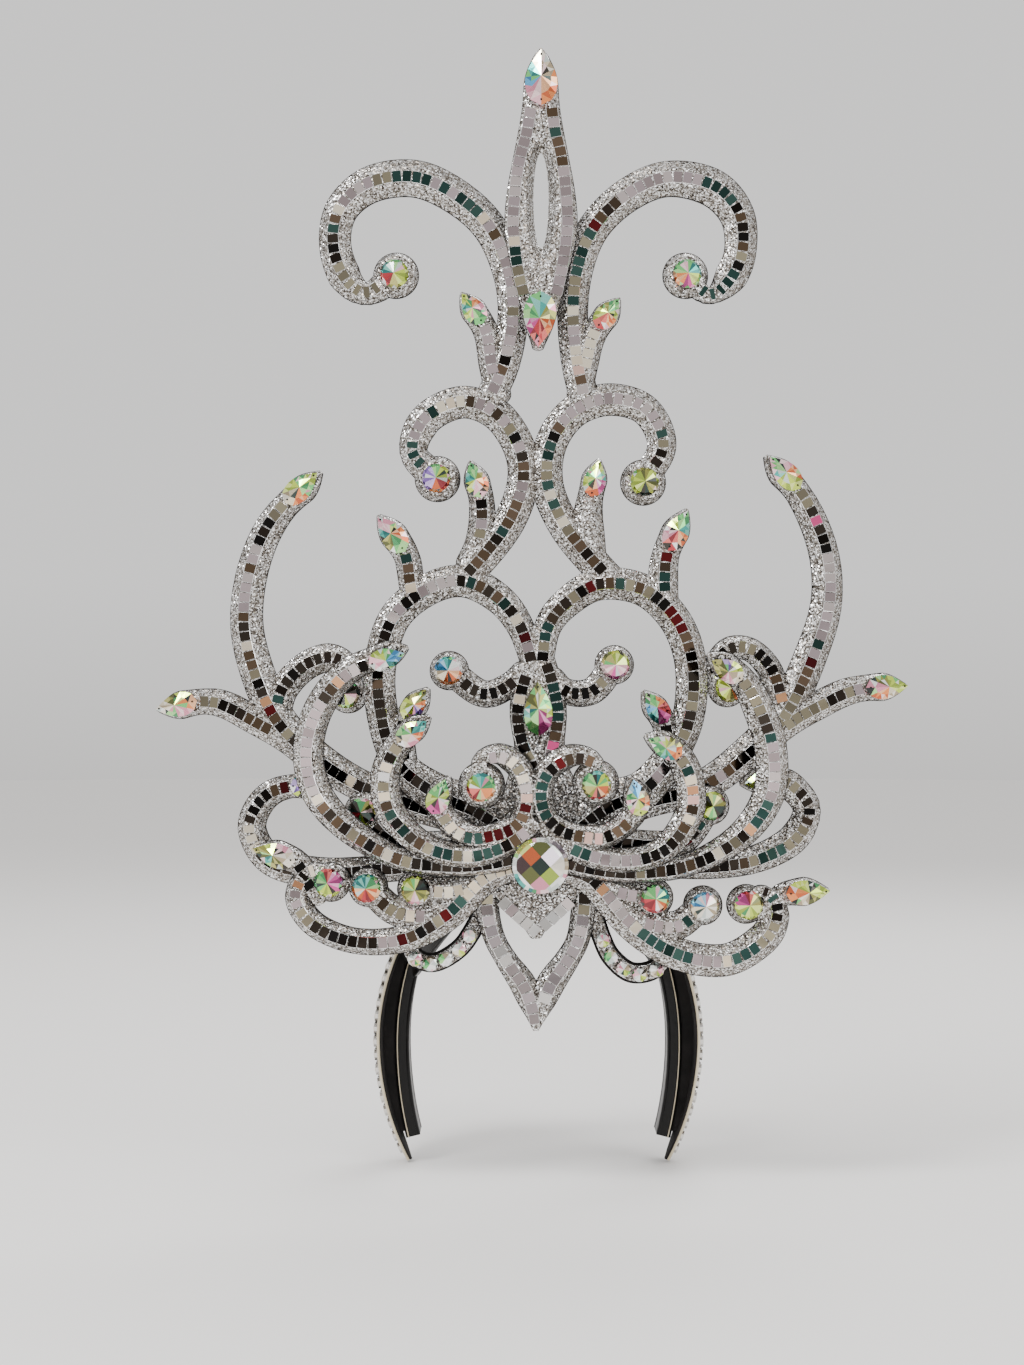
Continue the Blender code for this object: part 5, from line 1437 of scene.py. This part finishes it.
INLAYS = {"crest": ("fleur", 0.10, -1, LARGE_DROP), "fleur": ("fleur", 0.90, 1, LARGE_DROP),
          "lens": ("lens", LENS_SHARE, -1, LENS_DROP)}
for name, words in DROPS.items():
    scroll_name, share, turn, size = INLAYS.get(name, (name, None, 1, None))
    spine = Spine(SCROLLS[scroll_name])
    size = size or spine.scroll.end
    run = spine.length * share if share else spine.length - DROP_RIM - 0.5 * size[0]
    point, ahead, _ = spine.at(run)
    bm = cut_stone(drop_outline(*size), DROP_HEIGHT, DROP_CROWN)
    paint_facets(bm, words)
    drill(bm, [(0.0, sign * 0.5 * HOLE_SHARE * size[0]) for sign in (-1, 1)],
          SEAT + DROP_DRILL * DROP_HEIGHT)
    set_stone("pear_" + name, bm, point, turn * ahead, spine.sheet,
              () if name in EMBEDDED else ("drop_" + name,))
print("stones set:", len(ROUNDS) + len(DROPS))

# %% [markdown]
# ## The big gem
# The gem at the heart is a round of about 30 mm, in a cut that jewellers call checkerboard. Its
# domed top is ruled on a slant into squares of 7 mm, and each is painted with its own patch of
# reflection: a deep green one in the middle, salmon and plum at its left, lime and olive below,
# pale lilac at its right. The rim is nearly clear. The top is ruled while it is flat, since a
# plane then cuts every square clean, and is domed after that.

# %% Checkerboard gem
GEM_RADIUS, GEM_HEIGHT, GEM_SIDES = 0.0152, 0.009, 40
GEM_FOOT, GEM_GROW, GEM_RISE = 0.97, 1.03, 0.3
GEM_SQUARE = 0.0074
GEM_TURN = math.radians(43)
GEM_CROWN = 0.86
GEM_PATCHES = {(0, 0): "dark", (0, 1): "orange", (1, 0): "lilac", (-1, 0): "olive",
               (0, -1): "lime", (-1, 1): "plum", (1, 1): "olive", (1, -1): "beige",
               (-1, -1): "pink", (0, 2): "lime", (2, 0): "clear"}

gem_bm = bmesh.new()
bmesh.ops.create_circle(gem_bm, cap_ends=True, segments=GEM_SIDES,
                        radius=GEM_FOOT * GEM_RADIUS)
top = rise(gem_bm, gem_bm.faces[:][0], SEAT, 1.0)
top = rise(gem_bm, top, GIRDLE, GEM_GROW)
top = rise(gem_bm, top, GEM_RISE * (GEM_HEIGHT - GIRDLE), GEM_CROWN)
crown_height = top.verts[0].co.z
rulers = [Vector((math.cos(turn), math.sin(turn), 0.0))
          for turn in (GEM_TURN, GEM_TURN + 0.5 * math.pi)]


def crown_faces():
    """The faces of the gem's top that still lie flat."""
    return [face for face in gem_bm.faces
            if all(abs(vert.co.z - crown_height) < SAME_PLACE for vert in face.verts)]


for across in rulers:
    for k in range(-3, 3):
        flat_faces = crown_faces()
        around = {item for face in flat_faces for item in (*face.verts, *face.edges)}
        bmesh.ops.bisect_plane(gem_bm, geom=[*around, *flat_faces],
                               plane_co=across * GEM_SQUARE * (k + 0.5), plane_no=across)
paint_facets(gem_bm, "clear lilac beige clear pink teal clear lime")
flash = gem_bm.loops.layers.float_color["tint"]
for face in sorted(crown_faces(), key=rank):
    middle = face.calc_center_median()
    square = tuple(round(middle.dot(across) / GEM_SQUARE) for across in rulers)
    paint(face, flash, linear(random.choice(FLASHES[GEM_PATCHES.get(square, "clear")])))
for vert in {vert for face in crown_faces() for vert in face.verts}:
    share = vert.co.xy.length / (GEM_CROWN * GEM_RADIUS)
    vert.co.z += max(0.0, 1 - share ** 2) * (SEAT + GEM_HEIGHT - crown_height)
gem = set_stone("checkerboard_gem", gem_bm, (0.0, 0.0), Vector((0, 1)), SHEETS["petal"],
                ("centre_gem",))
print("facets of the gem:", len(gem.data.polygons))

# %% [markdown]
# ## Beads on the two small loops
# The small loops over the brow carry six little round stones each, of the palest kind.

# %% Beads
BEAD = Cut(0.0042, 10, 0.003, 0.78)
BEAD_SHARES = (0.27, 0.41, 0.54, 0.67, 0.80, 0.93)
BEAD_WORDS = ("clear beige lime clear pink", "beige clear clear green",
              "clear pink lime beige clear")
for side, _ in SIDES:
    spine = Spine(SCROLLS["brow_curl_" + side])
    beads = bmesh.new()
    for share in BEAD_SHARES:
        bead = round_stone(BEAD)
        paint_facets(bead, random.choice(BEAD_WORDS))
        place = on_face(spine.at(share * spine.length)[0], Vector((0, 1)), spine.sheet, FOAM_TOP)
        bmesh.ops.transform(bead, matrix=place, verts=bead.verts)
        add_copy(beads, bead)
    finish_piece("brow_beads_" + side, beads, (crystal,), crease=0.0)
print("beads:", 2 * len(BEAD_SHARES))

# %% [markdown]
# ## The head band
# What sits on the head is plain: a foam band over the top with a leg down each side, and a band
# round the brow that the panels are glued to. Both are wrapped in black patent vinyl, pulled
# tight over the foam, with a thin piping sewn along each edge. Patent vinyl is smooth under a
# clear gloss, so it shows long soft highlights, broken by shallow wrinkles where it was stretched.

# %% Patent vinyl
WRINKLE, WRINKLE_DEPTH = 0.006, 0.0012

vinyl, tree, shader = new_material("black patent vinyl", Roughness=0.4, Coat_Weight=0.1,
                                   Coat_Roughness=0.08, Base_Color=linear("#060505"),
                                   Specular_IOR_Level=0.2)
braid = new_material("pale gold braid", Base_Color=linear("#d9cdb2"), Roughness=0.55,
                     Metallic=0.4)[0]
place = own_place(tree)
folds = node(tree, "ShaderNodeTexNoise", {"Vector": place, "Scale": 1 / WRINKLE, "Detail": 3.0,
                                          "Distortion": 0.6})
rough_skin(tree, shader, folds.outputs["Fac"], 0.35, WRINKLE_DEPTH, ("Normal", "Coat Normal"))
print("wrinkles across the band: %.0f" % (0.025 / WRINKLE))

# %% [markdown]
# ## The line over the head
# Seen from the front, the band runs up over the head as half an ellipse and comes down each
# side as the start of a longer one, so its ends lean in. The lift moves a point off that line,
# away from the head, and everything that hangs on the band is placed with it.

# %% The line of the arch and a rounded section
ARCH_HALF, ARCH_CROWN, ARCH_LEG, ARCH_LEG_CURVE = 0.080, 0.112, 0.055, 0.137
ARCH_WIDTH, ARCH_THICKNESS = 0.025, 0.008
ARCH_ROWS = 72
ANGLE_STEP = 0.01
PIPING, STITCH = 0.0011, 0.00035
FINE_SIDES = 6


def arch_point(angle):
    """The arch's middle line across and up: an ellipse over the head, a longer one below."""
    depth = ARCH_CROWN + 0.5 * ARCH_THICKNESS if abs(angle) <= 0.5 * math.pi else ARCH_LEG_CURVE
    return Vector((ARCH_HALF * math.sin(angle), depth * math.cos(angle) - ARCH_CROWN))


def arch_spot(angle, lift):
    """A point off the middle line, lifted away from the head."""
    along = (arch_point(angle + ANGLE_STEP) - arch_point(angle - ANGLE_STEP)).normalized()
    return arch_point(angle) + lift * Vector((-along.y, along.x))


def rounded(half_across, half_along, turn, steps=3):
    """The corners of a rectangle with rounded corners."""
    outline = []
    for across, along, start in ((1, 1, 0), (-1, 1, 90), (-1, -1, 180), (1, -1, 270)):
        for k in range(steps + 1):
            angle = math.radians(start + 90 * k / steps)
            outline.append((across * (half_across - turn) + turn * math.cos(angle),
                            along * (half_along - turn) + turn * math.sin(angle)))
    return outline


def ring_of(radius, sides=8):
    """The corners of a round cord."""
    turns = [2 * math.pi * k / sides for k in range(sides)]
    return [(radius * math.cos(turn), radius * math.sin(turn)) for turn in turns]


print("corners of a rounded section:", len(rounded(0.004, 0.012, 0.001)))

# %% [markdown]
# ## The band over the head
# A band is one rounded section pulled along its line, and the piping is a round one pulled
# beside it. A thin pale stitch runs down the front of each leg.

# %% Band over the head
ARCH_ROUND, BRAID_SLOT = 0.0022, 1
PIPING_INSET, STITCH_INSET, STITCH_PROUD = 0.0008, 0.0013, 0.0002

arch_end = 0.5 * math.pi + math.asin(ARCH_LEG / ARCH_LEG_CURVE)
arch_angles = [arch_end * (2 * k / ARCH_ROWS - 1) for k in range(ARCH_ROWS + 1)]


def along_arch(outline, lift=0.0, back=0.0):
    """A body with one section, carried along the arch."""
    return drawn_out([[(arch_spot(angle, lift + out).x, back + y, arch_spot(angle, lift + out).y)
                       for out, y in outline] for angle in arch_angles])


arch_bm = along_arch(rounded(0.5 * ARCH_THICKNESS, 0.5 * ARCH_WIDTH, ARCH_ROUND))
for back in (-1, 1):
    for lift in (-1, 1):
        add_copy(arch_bm, along_arch(ring_of(PIPING),
                                     lift * (0.5 * ARCH_THICKNESS - PIPING_INSET),
                                     back * (0.5 * ARCH_WIDTH - PIPING_INSET)))
stitch = along_arch(ring_of(STITCH, FINE_SIDES), 0.5 * ARCH_THICKNESS - STITCH_INSET,
                    -0.5 * ARCH_WIDTH - STITCH_PROUD)
add_copy(arch_bm, stitch, BRAID_SLOT)
arch = finish_piece("head_band", arch_bm, (vinyl, braid), ("head_arch",))
print("faces in the head band:", len(arch.data.polygons))

# %% [markdown]
# ## The brow band
# The brow band is pulled in the same way, along half an ellipse that lies level and reaches
# round the brow. It sags at its sides, so its height falls with the turn from the middle.

# %% Brow band
BROW_HEIGHT, BROW_THICKNESS, BROW_SAG = 0.025, 0.004, 0.060
BROW_ROWS = 60
BROW_ROUND, BROW_PIPING_INSET = 0.0012, 0.0004
brow_turn = math.acos((ARCH_CROWN - BROW_SAG) / (ARCH_CROWN + 0.5 * ARCH_THICKNESS))
brow_x = arch_point(brow_turn).x + 0.5 * BROW_THICKNESS
brow_y = 0.5 * ARCH_WIDTH + GAP


def along_brow(outline, wall=0.5 * BROW_THICKNESS, rise_by=0.0):
    """A body with one section, carried round the brow."""
    rows = []
    for k in range(BROW_ROWS + 1):
        angle = math.pi * (k / BROW_ROWS - 0.5)
        rows.append([((brow_x - wall - inset) * math.sin(angle),
                      -brow_y - (BROW_FRONT - brow_y - wall - inset) * math.cos(angle),
                      rise_by + up - BROW_SAG * math.sin(angle) ** 2) for inset, up in outline])
    return drawn_out(rows)


brow_bm = along_brow(rounded(0.5 * BROW_THICKNESS, 0.5 * BROW_HEIGHT, BROW_ROUND))
for lift in (-1, 1):
    add_copy(brow_bm, along_brow(ring_of(PIPING), PIPING,
                                 lift * (0.5 * BROW_HEIGHT - BROW_PIPING_INSET)))
brow = finish_piece("brow_band_wrapped", brow_bm, (vinyl,), ("brow_band",))
print("faces in the brow band:", len(brow.data.polygons))

# %% [markdown]
# ## The side flaps
# A leaf-shaped flap hangs outside each leg and hides it from the side. Its outside is covered in
# glitter and set with rows of small silver mirrors, cut like low domes. Its inside stays black.
# From the front only its edge shows, as a narrow silver line with a scalloped rim.

# %% Flap sizes and its face
FLAP_THICKNESS, FLAP_CLEARANCE, FLAP_FLARE, FLAP_WIDTH = 0.003, 0.0006, 0.0065, 0.062
FLAP_DROP, FLAP_LEAD, FLAP_TOP = 0.067, 0.016, math.radians(42)
FLAP_ROWS = 40
FLARE_POWER, FLAP_START, FLAP_FULLNESS, FLAP_END = 1.2, 0.18, 0.7, 0.08
flap_tip = 0.5 * math.pi + math.asin(FLAP_DROP / ARCH_LEG_CURVE)


def flap_section(share):
    """How far a flap stands off the arch, its angle, its front edge and its width."""
    angle = FLAP_TOP + share * (flap_tip - FLAP_TOP)
    flare = FLAP_FLARE * math.sin(math.pi * share ** FLARE_POWER)
    near = 0.5 * ARCH_THICKNESS + FLAP_CLEARANCE + flare
    along = FLAP_START + (1 - FLAP_START) * share
    full = max(math.sin(math.pi * along), 0.0) ** FLAP_FULLNESS
    front = -0.5 * ARCH_WIDTH - FLAP_LEAD * math.sin(math.pi * share)
    return near, angle, front, FLAP_WIDTH * (FLAP_END + (1 - FLAP_END) * full)


def flap_spot(share, lift, sign):
    """A point off the flap's inner face, across and up."""
    near, angle, _, _ = flap_section(share)
    spot = arch_spot(angle, near + lift)
    return Vector((sign * spot.x, 0.0, spot.y))


print("width of a flap half way down: %.0f mm" % (1000 * flap_section(0.5)[3]))

# %% [markdown]
# ## The pad between leg and flap
# The flap is glued along the whole leg. It stands off more in its middle, and a shaped pad of
# the same black foam fills that space, so no light comes through between them from the front.

# %% Pads
PAD_INSET = 0.0012
PAD_TOP, PAD_LOW = 0.04, 0.905
LEG_BITE, FLAP_BITE = 0.001, 0.0004
PAD_ROWS = 24
for side, sign in SIDES:
    sections = []
    for k in range(PAD_ROWS + 1):
        near, angle, _, _ = flap_section(PAD_TOP + (PAD_LOW - PAD_TOP) * k / PAD_ROWS)
        low, high = 0.5 * ARCH_THICKNESS - LEG_BITE, near + FLAP_BITE
        half = 0.5 * ARCH_WIDTH - PAD_INSET
        sections.append([(sign * arch_spot(angle, lift).x, back, arch_spot(angle, lift).y)
                         for lift, back in ((low, -half), (high, -half), (high, half),
                                            (low, half))])
    pad = finish_piece("flap_pad_" + side, drawn_out(sections), (black_foam,))
print("faces of a pad:", len(pad.data.polygons))

# %% [markdown]
# ## Flaps and studs
# Each flap is pulled down its leg in sections of changing width. A pale gold braid follows the
# front edge. The studs are laid in rows across, as many as the width has room for, and each one
# is a small eight-sided dome, so a few dozen faces do for it.

# %% Flaps with their mirrors
FLAP_ROUND, FLAP_CORNER_STEPS = 0.0008, 2
BRAID, BRAID_LIFT = 0.0008, 0.7
GLITTER_SLOT, BACK_SLOT, EDGE_SLOT = 0, 1, 2
OUTWARD = 0.45
STUD = Cut(0.0034, 8, 0.0020, 0.7)
STUD_PITCH, STUD_ROW, STUD_MARGIN = 0.0074, 0.9, 0.003
STUD_TINT = "#d6d3cf"
SHARE_STEP = 0.02

for side, sign in SIDES:
    sections, edge = [], []
    for k in range(FLAP_ROWS + 1):
        share = k / FLAP_ROWS
        _, _, front, width = flap_section(share)
        middle = Vector((0.0, front + 0.5 * width, 0.0))
        sections.append([flap_spot(share, 0.5 * FLAP_THICKNESS + out, sign) + middle
                         + Vector((0.0, y, 0.0))
                         for out, y in rounded(0.5 * FLAP_THICKNESS, 0.5 * width, FLAP_ROUND,
                                               FLAP_CORNER_STEPS)])
        edge.append([flap_spot(share, BRAID_LIFT * FLAP_THICKNESS + out, sign)
                     + Vector((0.0, front + y, 0.0)) for out, y in ring_of(BRAID, FINE_SIDES)])
    body = drawn_out(sections)
    for face in body.faces:
        outside = face.normal.x * sign > OUTWARD
        face.material_index = GLITTER_SLOT if outside else BACK_SLOT
    add_copy(body, drawn_out(edge), EDGE_SLOT)
    finish_piece("side_flap_" + side, body, (glitter, black_foam, braid),
                 ("side_lappet_" + side,))

    studs = bmesh.new()
    tall = (flap_spot(0.0, 0.0, sign) - flap_spot(1.0, 0.0, sign)).length
    rows = int(tall / (STUD_ROW * STUD_PITCH))
    for row in range(1, rows):
        share = row / rows
        _, _, front, width = flap_section(share)
        upward = (flap_spot(share - SHARE_STEP, 0.0, sign)
                  - flap_spot(share + SHARE_STEP, 0.0, sign)).normalized()
        outward = Vector((sign * upward.z, 0.0, -sign * upward.x))
        turn = Matrix((upward.cross(outward), upward, outward)).transposed().to_4x4()
        count = max(1, int((width - STUD_MARGIN) / STUD_PITCH))
        for column in range(count):
            y = front + 0.5 * width + STUD_PITCH * (column - 0.5 * (count - 1))
            stud = round_stone(STUD)
            # The studs' facets get pale painted reflections, and their upright sides the plain
            # silver of the mirror.
            paint_facets(stud, "clear beige clear clear", lively=False, girdle=STUD_TINT)
            base = flap_spot(share, FLAP_THICKNESS - 0.5 * SEAT, sign) + Vector((0.0, y, 0.0))
            bmesh.ops.transform(stud, matrix=Matrix.Translation(base) @ turn, verts=stud.verts)
            add_copy(studs, stud)
    made = finish_piece("flap_mirrors_" + side, studs, (mirror,), crease=0.0)
    print(made.name, "has", len(made.data.polygons), "facets")

# %% [markdown]
# ## The floor
# A plain pale floor shows the work without competing with it. It lies a millimetre below the
# lowest tips.

# %% Floor
FLOOR_RADIUS, FLOOR_SIDES, FLOOR_GAP = 6.0, 96, 0.001
LOWEST = min(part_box(name)[0][2] for name in ("head_arch", "side_lappet_left"))

floor_bm = bmesh.new()
bmesh.ops.create_circle(floor_bm, cap_ends=True, segments=FLOOR_SIDES, radius=FLOOR_RADIUS)
floor = bpy.data.objects.new("floor", bpy.data.meshes.new("floor"))
floor_bm.to_mesh(floor.data)
floor_bm.free()
floor.location = (0.0, 0.0, LOWEST - FLOOR_GAP)
paper = new_material("pale paper", Base_Color=linear("#eceae8"), Roughness=0.9)[0]
floor.data.materials.append(paper)
bpy.context.scene.collection.objects.link(floor)
print("floor at %.4f m" % floor.location.z)

# %% [markdown]
# ## Light
# A soft box from the upper left gives the bright upper slopes, a weaker one fills from the right,
# and a third stands behind. Each is set by its place, the point that it aims at, its size in
# metres and its power in watts. The sky is grey below and pale above, so the mirrors and facets
# have a horizon to show.

# %% Lamps and sky
LAMPS = {"key": ((-0.8, -1.0, 1.5), (0, -0.1, 0.12), 0.6, 34),
         "fill": ((1.3, -1.1, 0.7), (0, -0.1, 0.1), 0.9, 8),
         "back": ((0.4, 1.3, 1.3), (0, 0, 0.1), 0.8, 16)}
HORIZON = {0.42: "#b9b5b1", 0.52: "#f4f3f2"}
SKY_STRENGTH = 1.1

for name, (place, aim, size, power) in LAMPS.items():
    lamp = bpy.data.lights.new(name, "AREA")
    lamp.size, lamp.energy = size, power
    soft_box = bpy.data.objects.new(name, lamp)
    soft_box.location = place
    soft_box.rotation_euler = (Vector(aim) - Vector(place)).to_track_quat("-Z", "Y").to_euler()
    bpy.context.scene.collection.objects.link(soft_box)

world = bpy.data.worlds.new("studio")
world.use_nodes = True
bpy.context.scene.world = world
sky = world.node_tree
direction = node(sky, "ShaderNodeTexCoord").outputs["Generated"]
height = node(sky, "ShaderNodeSeparateXYZ", {"Vector": direction}).outputs["Z"]
tall = node(sky, "ShaderNodeMapRange", {"Value": height, "From Min": -1.0, "From Max": 1.0})
shades = blend(sky, tall.outputs["Result"], HORIZON)
sky.links.new(shades, sky.nodes["Background"].inputs["Color"])
sky.nodes["Background"].inputs["Strength"].default_value = SKY_STRENGTH
print("lamps:", ", ".join(LAMPS))
